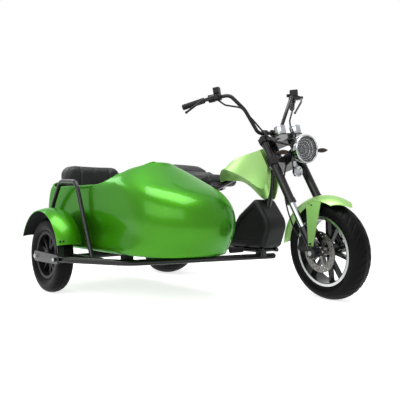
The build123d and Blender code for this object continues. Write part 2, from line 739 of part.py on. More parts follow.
# Cables: one bundle from each perch to the lamp bowl, and the hose from the right one to the caliper
CABLE_R = 5
perch_foot = perch_plane.from_local_coords(Vector(8, -19, PERCH_LENGTH / 2))
CABLE_RIGHT = [
    tuple(perch_foot), (-490, -262, 1104), (-424, -196, 1080), (-394, -136, 1000), (-352, -104, 930),
    (-290, -88, 872), (-188, -32, 834),
]
with BuildPart() as cables:
    add(tube(CABLE_RIGHT, [40, 60, 50, 60, 60], CABLE_R))
    mirror(about=Plane.XZ)
    for other in (lamp_shell, perches, gauge_plate, sleeves, upper_clamp, lamp_bracket):
        add(other.part, mode=Mode.SUBTRACT)
keep(cables.part, "control_cables", True)

# Steering head with the spine tube under the tank
head_from = LOWER_CLAMP_AT + LOWER_CLAMP_T + BEARING_GAP
head_to = UPPER_CLAMP_AT - BEARING_GAP
SPINE = [tuple(on_fork(650, -CLAMP_OFFSET).origin), (-560, 0, 742), (-700, 0, 688), (-900, 0, 622)]
with BuildPart() as spine:
    add(tube(SPINE, 160, SPINE_R))
    with BuildSketch(on_fork(head_from, -CLAMP_OFFSET)):
        Circle(HEAD_R)
    extrude(amount=head_to - head_from)
    with BuildSketch(on_fork(head_from, -CLAMP_OFFSET)):
        Circle(STEM_R + TURN_FIT)
    extrude(amount=head_to - head_from, mode=Mode.SUBTRACT)
keep(spine.part, "head_and_spine")

# Down tube from the head into the battery case
DOWN_TUBE = [
    tuple(on_fork(head_from + 60, -CLAMP_OFFSET).origin), tuple(on_fork(600, -CLAMP_OFFSET - 82).origin),
    (-436, 0, 545), (-500, 0, CASE_BOTTOM),
]
with BuildPart() as down_tube:
    add(tube(DOWN_TUBE, [50, 120], DOWN_TUBE_R))
    add(spine.part, mode=Mode.SUBTRACT)
    with BuildSketch(on_fork(head_from, -CLAMP_OFFSET)):
        Circle(STEM_R + TURN_FIT + 4)
    extrude(amount=head_to - head_from, both=True, mode=Mode.SUBTRACT)
keep(largest(down_tube), "down_tube")

# Lower frame: two rails under the battery case to the cross tube that carries the rear arms
rail_z = CASE_BOTTOM - RAIL_R - SEAT_GAP
PIVOT_HALF = ARM_Y + ARM_T
with BuildPart() as lower_frame:
    rail = [(-425, -RAIL_Y, rail_z), (-800, -RAIL_Y, rail_z), (PIVOT_X, -RAIL_Y, PIVOT_Z)]
    add(tube(rail, 120, RAIL_R))
    mirror(about=Plane.XZ)
    with BuildSketch(across(PIVOT_X, PIVOT_Z)):
        Circle(PIVOT_R)
    extrude(amount=PIVOT_HALF, both=True)
    with BuildSketch(across(-445, rail_z)):
        Circle(RAIL_R - 3)
    extrude(amount=RAIL_Y, both=True)
keep(lower_frame.part, "lower_frame")

# Battery case: a teardrop housing round the down tube, with rounded flanks
CASE_EDGE = 26
with BuildPart() as battery_case:
    with BuildSketch(across(0, 0)):
        with BuildLine():
            FilletPolyline(
                (-470, 545), (-355, 395), (-410, CASE_BOTTOM), (-705, CASE_BOTTOM), (-700, 320), (-615, 440),
                radius=[28, 90, 36, 36, 60, 60], close=True,
            )
        make_face()
    extrude(amount=CASE_HALF_W, both=True)
    flank_edges = battery_case.faces().filter_by(Axis.Y).edges()
    fillet(flank_edges, CASE_EDGE)
    with BuildSketch(across(0, 0, -CASE_HALF_W + 4)):
        with BuildLine():
            FilletPolyline(
                (-478, 490), (-398, 396), (-436, 290), (-655, 290), (-652, 322), (-592, 412),
                radius=[18, 60, 24, 20, 30, 40], close=True,
            )
        make_face()
    extrude(amount=10, mode=Mode.SUBTRACT)
    with BuildSketch(across(0, 0, CASE_HALF_W - 4)):
        with BuildLine():
            FilletPolyline(
                (-478, 490), (-398, 396), (-436, 290), (-655, 290), (-652, 322), (-592, 412),
                radius=[18, 60, 24, 20, 30, 40], close=True,
            )
        make_face()
    extrude(amount=-10, mode=Mode.SUBTRACT)
    add(tube(DOWN_TUBE, [50, 120], DOWN_TUBE_R + SEAT_GAP), mode=Mode.SUBTRACT)
keep(battery_case.part, "battery_case")

# Tank cover: faceted flanks with a crease that falls from the rear top to the low front tips
TANK_SECTIONS = [
    # x, top z, bottom z, top half width, crease z, crease half width, bottom half width
    (-390, 853, 680, 44, 712, 62, 46),
    (-455, 841, 545, 52, 604, 70, 44),
    (-530, 826, 612, 56, 652, 86, 62),
    (-660, 801, 652, 56, 706, 92, 68),
    (-750, 762, 656, 46, 728, 80, 60),
    (-812, 700, 652, 30, 676, 58, 48),
]
TOP_CROWN = 10
TANK_NOSE_GAP = 24
with BuildPart() as tank:
    for x, top, bottom, top_w, crease, crease_w, bottom_w in TANK_SECTIONS:
        with BuildSketch(Plane(origin=(x, 0, 0), x_dir=(0, 1, 0), z_dir=(1, 0, 0))):
            with BuildLine():
                Polyline(
                    (top_w, top - TOP_CROWN), (crease_w, crease), (bottom_w, bottom), (-bottom_w, bottom),
                    (-crease_w, crease), (-top_w, top - TOP_CROWN),
                )
                ThreePointArc((-top_w, top - TOP_CROWN), (0, top), (top_w, top - TOP_CROWN))
            make_face()
    loft()
    add(tube(SPINE, 160, SPINE_R + SEAT_GAP), mode=Mode.SUBTRACT)
    add(tube(DOWN_TUBE, [50, 120], DOWN_TUBE_R + SEAT_GAP), mode=Mode.SUBTRACT)
    with BuildSketch(on_fork(0, -CLAMP_OFFSET - HEAD_R - TANK_NOSE_GAP)):
        with Locations((200, 0)):
            Rectangle(400, 400)
    extrude(amount=900, mode=Mode.SUBTRACT)
    with BuildSketch(across(0, 0)):
        with BuildLine():
            Polyline((-380, 500), (-380, 770), (-440, 745), (-560, 610), (-560, 500), close=True)
        make_face()
    extrude(amount=DOWN_TUBE_R + 8, both=True, mode=Mode.SUBTRACT)
keep(largest(tank), "tank_cover")

# Seat frame: two rails from the spine to the tail and two posts down to the cross tube
with BuildPart() as seat_frame:
    rail = [(-830, 0, 645), (-930, -SEAT_RAIL_Y, 612), (SEAT_RAIL_END, -SEAT_RAIL_Y, SEAT_RAIL_Z)]
    add(tube(rail, 90, RAIL_R))
    add(tube([(-1010, -SEAT_RAIL_Y, 608), (PIVOT_X, -SEAT_RAIL_Y, PIVOT_Z)], 0, RAIL_R))
    with BuildSketch(across(-1300, 604, -SEAT_RAIL_Y)):
        Circle(10)
    extrude(amount=SHOCK_Y + 12 - SEAT_RAIL_Y)
    mirror(about=Plane.XZ)
    with BuildSketch(across(-1240, 606)):
        Circle(RAIL_R - 2)
    extrude(amount=SEAT_RAIL_Y, both=True)
    add(spine.part, mode=Mode.SUBTRACT)
    add(lower_frame.part, mode=Mode.SUBTRACT)
keep(largest(seat_frame), "seat_frame")

# Rear arms: two tapered beams from the cross tube to the rear axle, joined ahead of the tyre
with BuildPart() as swing_arm:
    with BuildSketch(across(0, 0, -ARM_Y + ARM_T / 2)):
        with BuildLine():
            Polyline(
                (PIVOT_X + 10, PIVOT_Z + 34), (PIVOT_X + 34, PIVOT_Z), (PIVOT_X + 10, PIVOT_Z - 34),
                (REAR_X, REAR_TYRE_R - 26), (REAR_X - 40, REAR_TYRE_R - 20), (REAR_X - 40, REAR_TYRE_R + 20),
                (REAR_X, REAR_TYRE_R + 26), close=True,
            )
        make_face()
    extrude(amount=ARM_T)
    with BuildSketch(across(SHOCK_FOOT_X, SHOCK_FOOT_Z, -ARM_Y)):
        Circle(10)
    extrude(amount=SHOCK_Y + 12 - ARM_Y)
    mirror(about=Plane.XZ)
    with BuildSketch(across(-1100, 250)):
        Circle(22)
    extrude(amount=ARM_Y, both=True)
    with BuildSketch(across(PIVOT_X, PIVOT_Z)):
        Circle(PIVOT_R + SLIDE_FIT)
    extrude(amount=2 * ARM_Y, both=True, mode=Mode.SUBTRACT)
    with BuildSketch(across(REAR_X, REAR_TYRE_R)):
        Circle(AXLE_R + SLIDE_FIT)
    extrude(amount=2 * ARM_Y, both=True, mode=Mode.SUBTRACT)
keep(swing_arm.part, "rear_arms")

arm_out = ARM_Y + ARM_T / 2
arm_in = ARM_Y - ARM_T / 2
with BuildPart() as rear_axle:
    with BuildSketch(across(REAR_X, REAR_TYRE_R)):
        Circle(AXLE_R)
    extrude(amount=arm_out + 14, both=True)
    with BuildSketch(across(REAR_X, REAR_TYRE_R, -arm_out)):
        RegularPolygon(14, 6)
    extrude(amount=NUT_T)
    with BuildSketch(across(REAR_X, REAR_TYRE_R, -MOTOR_HALF - 8 - TURN_FIT)):
        Circle(SPACER_R)
    extrude(amount=arm_in - MOTOR_HALF - 8 - TURN_FIT)
    mirror(about=Plane.XZ)

# Rear shock absorbers: eyes at both ends, a damper body and a spring sleeve
SHOCK_TOP = Vector(-1300, -SHOCK_Y, 604)
SHOCK_FOOT = Vector(SHOCK_FOOT_X, -SHOCK_Y, SHOCK_FOOT_Z)
shock_up = (SHOCK_TOP - SHOCK_FOOT).normalized()
shock_length = (SHOCK_TOP - SHOCK_FOOT).length
with BuildPart() as shocks:
    with BuildSketch(Plane(origin=SHOCK_FOOT, z_dir=shock_up)):
        Circle(9)
    extrude(amount=shock_length)
    with BuildSketch(Plane(origin=SHOCK_FOOT + shock_up * 30, z_dir=shock_up)):
        Circle(22)
    extrude(amount=shock_length - 62)
    for eye in (SHOCK_TOP, SHOCK_FOOT):
        with BuildSketch(across(eye.X, eye.Z, -SHOCK_Y + 10)):
            Circle(18)
        extrude(amount=20)
    for eye in (SHOCK_TOP, SHOCK_FOOT):
        with BuildSketch(across(eye.X, eye.Z, -SHOCK_Y + 40)):
            Circle(10 + SLIDE_FIT)
        extrude(amount=80, mode=Mode.SUBTRACT)
    mirror(about=Plane.XZ)
keep(shocks.part, "rear_shocks")

# Rear fender: a crowned band over the rear tyre, hung from the seat rails on two tabs
REAR_GUARD_HALF_W = 106
with BuildPart() as rear_fender:
    add(guard(REAR_X, 0, REAR_TYRE_R, REAR_GUARD_R + 12, 14, REAR_GUARD_HALF_W, GUARD_T, 24, 158))
    with BuildSketch(across(0, 0, -SEAT_RAIL_Y - RAIL_R - SEAT_GAP)):
        with Locations((REAR_X, 560)):
            RectangleRounded(46, 130, 12)
    extrude(amount=5)
    mirror(about=Plane.XZ)
keep(rear_fender.part, "rear_fender")

# Tail lamp across the ends of the seat rails
with BuildPart() as tail_lamp:
    tail_at = (SEAT_RAIL_END - SLIDE_FIT, 0, SEAT_RAIL_Z)
    with BuildSketch(Plane(origin=tail_at, x_dir=(0, 1, 0), z_dir=(-1, 0, 0))):
        RectangleRounded(2 * SEAT_RAIL_Y + 30, 44, 14)
    extrude(amount=26)
    fillet(tail_lamp.faces().sort_by(Axis.X)[0].edges(), 10)
    add(seat_frame.part, mode=Mode.SUBTRACT)
keep(tail_lamp.part, "tail_lamp")

# Rider's foot pegs on the lower rails
PEG_X = -560
with BuildPart() as pegs:
    with BuildSketch(across(PEG_X, rail_z, -RAIL_Y)):
        Circle(9)
    extrude(amount=45)
    with BuildSketch(across(PEG_X, rail_z, -RAIL_Y - 40)):
        Circle(16)
    extrude(amount=95)
    mirror(about=Plane.XZ)
    add(lower_frame.part, mode=Mode.SUBTRACT)
keep(pegs.part, "foot_pegs")

# Seats: plain closed pads on the seat rails
seat_bottom = SEAT_RAIL_Z + RAIL_R + 12
with BuildPart() as rider_seat:
    with BuildSketch(across(0, 0)):
        with BuildLine():
            FilletPolyline(
                (-826, 650), (-850, 700), (-960, 706), (-1040, 712), (-1118, 742), (-1118, seat_bottom),
                (-850, seat_bottom), radius=[20, 34, 60, 60, 14, 12, 14], close=True,
            )
        make_face()
    extrude(amount=128, both=True)
    fillet(rider_seat.faces().filter_by(Axis.Y).edges(), 16)
    add(spine.part, mode=Mode.SUBTRACT)
    add(seat_frame.part, mode=Mode.SUBTRACT)
    add(tank.part, mode=Mode.SUBTRACT)
keep(largest(rider_seat), "rider_seat")

with BuildPart() as pillion_seat:
    with BuildSketch(across(0, 0)):
        with BuildLine():
            FilletPolyline(
                (-1122, seat_bottom), (-1122, 744), (-1190, 778), (-1300, 792), (-1420, 790), (-1470, 740),
                (-1480, seat_bottom), radius=[12, 30, 60, 60, 50, 30, 14], close=True,
            )
        make_face()
    extrude(amount=112, both=True)
    fillet(pillion_seat.faces().filter_by(Axis.Y).edges(), 16)
    add(seat_frame.part, mode=Mode.SUBTRACT)
keep(largest(pillion_seat), "pillion_seat")

# Sidecar chassis: the outer rail runs in under the body as the front strut to the lower frame
STRUT_Z = 198
STRUT = [
    (-1010, -1106, SIDE_RAIL_Z + 4), (-900, -1100, SIDE_RAIL_Z + 4),
    (-640, -850, STRUT_Z), (-420, 20, STRUT_Z),
]
strut = tube(STRUT, [120, 200], SIDE_RAIL_R)
with BuildPart() as front_strut:
    add(strut)
    with Locations(Location(STRUT[-1])):
        Sphere(SIDE_RAIL_R)
    with BuildSketch(Plane(origin=(-441, -RAIL_Y, STRUT_Z))):
        RectangleRounded(56, 46, 10)
    extrude(amount=rail_z - STRUT_Z)
    add(lower_frame.part, mode=Mode.SUBTRACT)

# Wheel rail: carries the inner end of the sidecar axle and the feet of the grab hoop
WHEEL_RAIL_END = -1455
with BuildPart() as wheel_rail:
    wheel_run = [(-745, WHEEL_RAIL_Y, SIDE_RAIL_Z), (WHEEL_RAIL_END, WHEEL_RAIL_Y, SIDE_RAIL_Z)]
    add(tube(wheel_run, 0, SIDE_RAIL_R - 1))
    with BuildSketch(across(SIDE_X, SIDE_TYRE_R, WHEEL_RAIL_Y + 16)):
        Circle(20)
    extrude(amount=36)
    with BuildSketch(across(SIDE_X, SIDE_TYRE_R, WHEEL_RAIL_Y + 60)):
        Circle(AXLE_R + SLIDE_FIT)
    extrude(amount=120, mode=Mode.SUBTRACT)
    add(front_strut.part, mode=Mode.SUBTRACT)

# Cross tube from the wheel rail to the motorcycle's lower cross tube
CROSS_X = -1040
with BuildPart() as cross_tube:
    add(tube(
        [(CROSS_X, WHEEL_RAIL_Y, SIDE_RAIL_Z), (CROSS_X, -330, SIDE_RAIL_Z), (PIVOT_X, -PIVOT_HALF, PIVOT_Z)],
        150, SIDE_RAIL_R - 1,
    ))
    add(wheel_rail.part, mode=Mode.SUBTRACT)
    with BuildSketch(across(PIVOT_X, PIVOT_Z, -PIVOT_HALF)):
        Circle(80)
    extrude(amount=-80, mode=Mode.SUBTRACT)
keep(Compound([front_strut.part.solid(), largest(cross_tube)]), "sidecar_cross_tubes")

# Body rail beside the motorcycle, between the front strut and the cross tube
BODY_RAIL_Y = -410
strut_at_rail = -640 + (850 + BODY_RAIL_Y) / (850 + 20) * 220
with BuildPart() as body_rail:
    body_run = [(strut_at_rail, BODY_RAIL_Y, SIDE_RAIL_Z), (CROSS_X, BODY_RAIL_Y, SIDE_RAIL_Z)]
    add(tube(body_run, 0, SIDE_RAIL_R - 3))
    add(front_strut.part, mode=Mode.SUBTRACT)
    add(cross_tube.part, mode=Mode.SUBTRACT)
keep(Compound([largest(wheel_rail), largest(body_rail)]), "sidecar_rails")

# Upper brace from the cross tube to the seat rail
with BuildPart() as brace:
    add(tube([(CROSS_X, -330, SIDE_RAIL_Z), (-1100, -SEAT_RAIL_Y, SEAT_RAIL_Z + 8)], 0, RAIL_R))
    add(cross_tube.part, mode=Mode.SUBTRACT)
    add(seat_frame.part, mode=Mode.SUBTRACT)
keep(largest(brace), "sidecar_brace")

# Grab hoop between the body and the wheel
HOOP = [
    (-850, WHEEL_RAIL_Y, SIDE_RAIL_Z), (-1045, WHEEL_RAIL_Y, 636), (-1250, WHEEL_RAIL_Y, 644),
    (-1356, WHEEL_RAIL_Y, 500), (-1425, WHEEL_RAIL_Y, SIDE_RAIL_Z),
]
with BuildPart() as hoop:
    add(tube(HOOP, [70, 60, 150], HOOP_R))
    add(wheel_rail.part, mode=Mode.SUBTRACT)
keep(largest(hoop), "grab_hoop")

# Sidecar axle with its nuts and spacers, and the outer plate that ties it to the outer rail
SIDE_HUB_HALF = 32
plate_y = -1106 - SIDE_RAIL_R - SIDE_PLATE_T
with BuildPart() as side_axle:
    with BuildSketch(across(SIDE_X, SIDE_TYRE_R, WHEEL_RAIL_Y + 18)):
        Circle(AXLE_R)
    extrude(amount=-plate_y + WHEEL_RAIL_Y + 18 + 14)
    with BuildSketch(across(SIDE_X, SIDE_TYRE_R, plate_y)):
        RegularPolygon(14, 6)
    extrude(amount=NUT_T)
    with BuildSketch(across(SIDE_X, SIDE_TYRE_R, SIDE_Y - SIDE_HUB_HALF - TURN_FIT)):
        Circle(SPACER_R)
    extrude(amount=-plate_y - SIDE_PLATE_T + SIDE_Y - SIDE_HUB_HALF - TURN_FIT)
    with BuildSketch(across(SIDE_X, SIDE_TYRE_R, WHEEL_RAIL_Y - 20)):
        Circle(SPACER_R)
    extrude(amount=WHEEL_RAIL_Y - 20 - SIDE_Y - SIDE_HUB_HALF - TURN_FIT)
keep(Compound([rear_axle.part.solid(), side_axle.part.solid()]), "rear_and_sidecar_axles")

with BuildPart() as axle_plate:
    with BuildSketch(across(0, 0, plate_y + SIDE_PLATE_T)):
        with BuildLine():
            FilletPolyline(
                (-895, 236), (-895, 188), (SIDE_X - 34, 186), (SIDE_X - 34, 244),
                radius=[16, 16, 22, 22], close=True,
            )
        make_face()
        with Locations((SIDE_X, SIDE_TYRE_R)):
            Circle(AXLE_R + SLIDE_FIT, mode=Mode.SUBTRACT)
    extrude(amount=SIDE_PLATE_T)
    with BuildSketch(across(-925, SIDE_RAIL_Z + 4, plate_y)):
        RegularPolygon(12, 6)
    extrude(amount=8)
    add(front_strut.part, mode=Mode.SUBTRACT)
    add(side_axle.part, mode=Mode.SUBTRACT)
keep(largest(axle_plate), "sidecar_axle_plate")

# Sidecar fender and its two stays
GUARD_Y = -1047
side_guard = guard(
    SIDE_X, GUARD_Y, SIDE_TYRE_R, SIDE_GUARD_R + SIDE_GUARD_RISE, SIDE_GUARD_RISE,
    SIDE_GUARD_HALF_W, GUARD_T, 16, 157,
)
keep(side_guard, "sidecar_fender")

STAY_T = 4
STAY_R = SIDE_GUARD_R - 16
STAY_BOLT_R = 5
STAY_BOLT_LENGTH = 31
STAYS = [
    # first angle, swept angle, outer y, inner y, angle of the bolts, their y
    (24, 30, -1112, -1076, 20, (-1103, -1085)),
    (186, 40, -1000, -945, 151, (-991, -979)),
]
with BuildPart() as stays:
    for begin, sweep_arc, near, far, bolt_angle, bolts_y in STAYS:
        out = Vector(cos(radians(begin)), 0, sin(radians(begin)))
        with BuildSketch(Plane(
            origin=(SIDE_X, 0, SIDE_TYRE_R), x_dir=(0, 1, 0), z_dir=Vector(0, 1, 0).cross(out),
        )):
            with Locations(((near + far) / 2, STAY_R)):
                Rectangle(far - near, STAY_T)
        revolve(axis=Axis((SIDE_X, 0, SIDE_TYRE_R), (0, 1, 0)), revolution_arc=sweep_arc)
        bolt_out = Vector(cos(radians(bolt_angle)), 0, sin(radians(bolt_angle)))
        bolt_foot = Vector(SIDE_X, 0, SIDE_TYRE_R) + bolt_out * STAY_R
        with BuildSketch(Plane(origin=bolt_foot, x_dir=(0, 1, 0), z_dir=bolt_out)):
            with Locations((bolts_y[0], 0), (bolts_y[1], 0)):
                Circle(STAY_BOLT_R)
        extrude(amount=STAY_BOLT_LENGTH)
    for other in (front_strut, wheel_rail, hoop, axle_plate):
        add(other.part, mode=Mode.SUBTRACT)
    add(side_guard, mode=Mode.SUBTRACT)
keep(stays.part, "fender_stays")

# Sidecar body: level sections of straight flanks and a round nose, hollowed, then cut along its rim
POD_SECTIONS = [
    # z, half width, nose x, rear x
    (POD_FLOOR, 272, -270, -1552),
    (330, 290, -224, -1563),
    (420, 297, -206, -1569),
    (500, 297, -236, -1570),
    (570, 290, -318, -1569),
    (620, 276, -425, -1564),
    (662, 240, -512, -1555),
    (698, 186, -582, -1540),
    (724, 122, -626, -1522),
    (738, 64, -656, -1503),
]
POD_CORNER = 95


def pod_solid(inset):
    """The lofted body, drawn in by an inset on every side."""
    with BuildPart() as made:
        for z, half_w, nose, rear in POD_SECTIONS:
            level = z + inset if z == POD_FLOOR else z - inset * (z > POD_RIM)
            half = half_w - inset
            corner = min(POD_CORNER - inset, half * 0.8)
            tip = nose - inset
            back = rear + inset
            with BuildSketch(Plane.XY.offset(level)):
                with BuildLine():
                    Line((back + corner, POD_Y - half), (tip - half, POD_Y - half))
                    ThreePointArc((tip - half, POD_Y - half), (tip, POD_Y), (tip - half, POD_Y + half))
                    Line((tip - half, POD_Y + half), (back + corner, POD_Y + half))
                    RadiusArc((back + corner, POD_Y + half), (back, POD_Y + half - corner), -corner)
                    Line((back, POD_Y + half - corner), (back, POD_Y - half + corner))
                    RadiusArc((back, POD_Y - half + corner), (back + corner, POD_Y - half), -corner)
                make_face()
        loft()
    return made.part


RIM_BEND_X = -930
RIM_BEND_R = 330
LIP_X = -670
TAIL_BEND_X = -1430
TAIL_BEND_R = 170
lip_rise = RIM_BEND_R - (RIM_BEND_R ** 2 - (LIP_X - RIM_BEND_X) ** 2) ** 0.5
with BuildPart() as pod:
    add(pod_solid(0))
    add(pod_solid(POD_WALL), mode=Mode.SUBTRACT)
    with BuildSketch(across(0, 0, POD_Y + 400)):
        with BuildLine():
            Line((TAIL_BEND_X, POD_RIM), (RIM_BEND_X, POD_RIM))
            RadiusArc((RIM_BEND_X, POD_RIM), (LIP_X, POD_RIM + lip_rise), -RIM_BEND_R)
            Polyline((LIP_X, POD_RIM + lip_rise), (LIP_X, 900), (TAIL_BEND_X - TAIL_BEND_R, 900),
                     (TAIL_BEND_X - TAIL_BEND_R, POD_RIM + TAIL_BEND_R))
            RadiusArc(
                (TAIL_BEND_X - TAIL_BEND_R, POD_RIM + TAIL_BEND_R), (TAIL_BEND_X, POD_RIM), -TAIL_BEND_R,
            )
        make_face()
    extrude(amount=800, mode=Mode.SUBTRACT)
keep(largest(pod), "sidecar_body")

# Rubber blocks that carry the body on its rails
with BuildPart() as blocks:
    with BuildSketch(Plane.XY.offset(SIDE_RAIL_Z)):
        with Locations((-540, BODY_RAIL_Y), (-960, BODY_RAIL_Y)):
            Rectangle(60, 40)
        with Locations((-690, -830), (CROSS_X, -820)):
            Rectangle(50, 50)
    extrude(amount=POD_FLOOR - SLIDE_FIT - SIDE_RAIL_Z)
    for other in (front_strut, body_rail, cross_tube):
        add(other.part, mode=Mode.SUBTRACT)
blocks_top = [b for b in blocks.part.solids() if b.bounding_box().max.Z > POD_FLOOR - 1]
keep(Compound(blocks_top), "body_mounts")

# Passenger seat: a cushion on the floor and a back against the rear wall
floor_top = POD_FLOOR + POD_WALL
BACK_H = 512
with BuildPart() as passenger_seat:
    with BuildSketch(Plane.XY.offset(floor_top + SEAT_GAP)):
        with Locations((-1210, POD_Y)):
            RectangleRounded(420, 480, 60)
    extrude(amount=150)
    fillet(passenger_seat.faces().sort_by(Axis.Z)[-1].edges(), 30)
keep(passenger_seat.part, "passenger_cushion")

with BuildPart() as passenger_back:
    with BuildSketch(Plane(origin=(-1530, POD_Y, 0), x_dir=(0, 1, 0), z_dir=(1, 0, 0))):
        with Locations((0, floor_top + SEAT_GAP + BACK_H / 2)):
            RectangleRounded(416, BACK_H, 70)
    extrude(amount=104)
    fillet(passenger_back.faces().sort_by(Axis.X)[-1].edges(), 30)
keep(passenger_back.part, "passenger_backrest")
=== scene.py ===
import math

import bmesh
import bpy
import numpy as np
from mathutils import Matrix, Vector


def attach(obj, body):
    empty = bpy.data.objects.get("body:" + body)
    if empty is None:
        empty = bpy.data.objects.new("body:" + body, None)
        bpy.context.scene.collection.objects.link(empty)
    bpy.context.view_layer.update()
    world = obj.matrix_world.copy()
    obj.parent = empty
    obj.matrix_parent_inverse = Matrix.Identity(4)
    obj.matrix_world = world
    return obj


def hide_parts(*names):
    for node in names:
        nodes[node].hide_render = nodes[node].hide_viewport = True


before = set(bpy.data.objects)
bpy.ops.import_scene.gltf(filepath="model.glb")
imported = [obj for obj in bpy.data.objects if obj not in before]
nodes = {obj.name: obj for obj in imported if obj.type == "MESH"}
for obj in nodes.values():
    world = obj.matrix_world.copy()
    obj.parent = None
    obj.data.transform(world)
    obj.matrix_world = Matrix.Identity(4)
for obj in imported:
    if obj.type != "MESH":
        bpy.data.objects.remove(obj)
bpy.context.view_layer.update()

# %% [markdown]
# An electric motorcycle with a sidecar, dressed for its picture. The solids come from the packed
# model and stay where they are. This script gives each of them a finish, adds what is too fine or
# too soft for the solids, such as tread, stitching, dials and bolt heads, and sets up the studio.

# %% [markdown]
# The drawing of the vehicle is in millimetres about the front axle of the motorcycle when it stands
# straight. The finished frame has its origin in the middle of the ground outline, and the whole
# front end is parked with a small turn to the right. Two helpers carry points from the one to the other.

# %% From the drawing to the frame
DRAWING_ORIGIN = np.array([723.0, 350.0, 0.0])
PARKED_TURN = math.radians(-10)
STEER_LINE = np.array([-0.5, 0.0, 0.8660254])


def at(points):
    """Drawing millimetres to frame metres: (p + origin) / 1000."""
    return (np.asarray(points, float) + DRAWING_ORIGIN) / 1000


STEER_POINT = at([-51.96, 0, 232])


def turned(vectors, angle=PARKED_TURN):
    """Rodrigues' rotation about the steering line: v cos a + (k x v) sin a + k (k.v)(1 - cos a)."""
    vectors = np.asarray(vectors, float)
    along = (vectors @ STEER_LINE)[..., None] * STEER_LINE
    across = np.cross(STEER_LINE, vectors)
    return vectors * math.cos(angle) + across * math.sin(angle) + along * (1 - math.cos(angle))


def parked(points):
    """Points of the straight-ahead front end, moved to where the parked fork holds them."""
    return turned(at(points) - STEER_POINT) + STEER_POINT


print("front axle at", parked([0, 0, 262]))

# %% [markdown]
# The camera stands where the photographer stood: low, ahead of the sidecar, a little right of the
# front wheel. A moderate lens keeps the wheels round.

# %% Camera
camera_data = bpy.data.cameras.new("camera")
camera_data.lens = 46.8
camera_data.sensor_width = 36
camera = bpy.data.objects.new("camera", camera_data)
camera.location = (2.4142, -1.9560, 0.5063)
camera.rotation_euler = Vector((-0.76854, 0.63975, 0.00803)).to_track_quat("-Z", "Y").to_euler()
bpy.context.scene.collection.objects.link(camera)
bpy.context.scene.camera = camera
bpy.context.scene.view_settings.view_transform = "Standard"

# %% [markdown]
# Finishes are node materials. Writing them as arithmetic keeps them readable, so one small class wraps
# a shader socket and turns each operator into a Math node. One method adds every other node: it takes
# the node's type, its settings and what goes into its sockets.

# %% Shader arithmetic


class Flow:
    """A shader value: +, -, * and > on it add Math nodes."""

    def __init__(self, finish, socket):
        self.finish = finish
        self.socket = socket

    def math(self, operation, *values):
        """A Math node with this value first and the others after it."""
        return self.finish.node("ShaderNodeMath", {"operation": operation}, dict(enumerate((self, *values))))

    def __add__(self, other):
        return self.math("ADD", other)

    def __sub__(self, other):
        return self.math("SUBTRACT", other)

    def __rsub__(self, other):
        return self.finish.node("ShaderNodeMath", {"operation": "SUBTRACT"}, {0: other, 1: self})

    def __mul__(self, other):
        return self.math("MULTIPLY", other)

    def __gt__(self, other):
        return self.math("GREATER_THAN", other)

    __radd__ = __add__
    __rmul__ = __mul__


class Finish:
    """A material on the Principled shader, with one method that adds nodes."""

    def __init__(self, name, **constants):
        self.material = bpy.data.materials.new(name)
        self.material.use_nodes = True
        self.tree = self.material.node_tree
        self.shader = self.tree.nodes["Principled BSDF"]
        self.place = self.node("ShaderNodeTexCoord", out="Object")
        self.set(**constants)

    def feed(self, socket, value):
        if isinstance(value, Flow):
            self.tree.links.new(value.socket, socket)
        else:
            socket.default_value = value

    def node(self, kind, settings=None, inputs=None, out=0):
        made = self.tree.nodes.new(kind)
        for key, value in (settings or {}).items():
            if key == "stops":
                ramp = made.color_ramp.elements
                while len(ramp) < len(value):
                    ramp.new(0.5)
                for element, (position, colour) in zip(ramp, value):
                    element.position = position
                    element.color = colour
            else:
                setattr(made, key, value)
        for key, value in (inputs or {}).items():
            self.feed(made.inputs[key], value)
        return Flow(self, made.outputs[out])

    def set(self, **values):
        for name, value in values.items():
            self.feed(self.shader.inputs[name.replace("_", " ")], value)

    def noise(self, scale, detail=3, roughness=0.5, at=None):
        inputs = {"Vector": at or self.place, "Scale": scale, "Detail": detail, "Roughness": roughness}
        return self.node("ShaderNodeTexNoise", None, inputs)

    def mix(self, share, first, second):
        inputs = {0: share, 6: first, 7: second}
        return self.node("ShaderNodeMix", {"data_type": "RGBA"}, inputs, out=2)

    def bump(self, height, strength, distance):
        inputs = {"Height": height, "Strength": strength, "Distance": distance}
        self.set(Normal=self.node("ShaderNodeBump", None, inputs))

    def dot(self, first, second):
        inputs = {0: first, 1: second}
        return self.node("ShaderNodeVectorMath", {"operation": "DOT_PRODUCT"}, inputs, out="Value")

    def from_axle(self, centre, axis):
        """Distance from an axle line: sqrt(|v|^2 - (v.a)^2), with v measured from the centre."""
        v = self.node("ShaderNodeVectorMath", {"operation": "SUBTRACT"}, {0: self.place, 1: tuple(centre)})
        along = self.dot(v, tuple(axis))
        return (self.dot(v, v) - along * along).math("SQRT")

    def ray(self, kind):
        return self.node("ShaderNodeLightPath", out=f"Is {kind} Ray")


def colour(red, green, blue):
    return (red, green, blue, 1.0)


# %% [markdown]
# Two greens carry the picture. The sidecar wears a deep candy green under a thick clear coat, and the
# tank and front fender a paler, yellower one. Both get metal flakes: a very fine cell pattern that
# varies the colour from flake to flake, under a coat that stays smooth.

# %% Paint


def flake_paint(name, deep, bright, tint, rough):
    paint = Finish(name, Metallic=0.7, Specular_IOR_Level=0.1, Specular_Tint=colour(*tint))
    paint.set(Coat_Weight=0.45, Coat_Roughness=0.10, Coat_IOR=1.4)
    flakes = paint.node("ShaderNodeTexVoronoi", None, {"Vector": paint.place, "Scale": 1400.0}, out="Color")
    cell = paint.dot(flakes, (0.33, 0.33, 0.33))
    cloud = paint.noise(3.0, 2)
    paint.set(Base_Color=paint.mix(cell * 0.45 + cloud * 0.5, colour(*deep), colour(*bright)))
    paint.set(Roughness=cell * 0.08 + rough)
    return paint


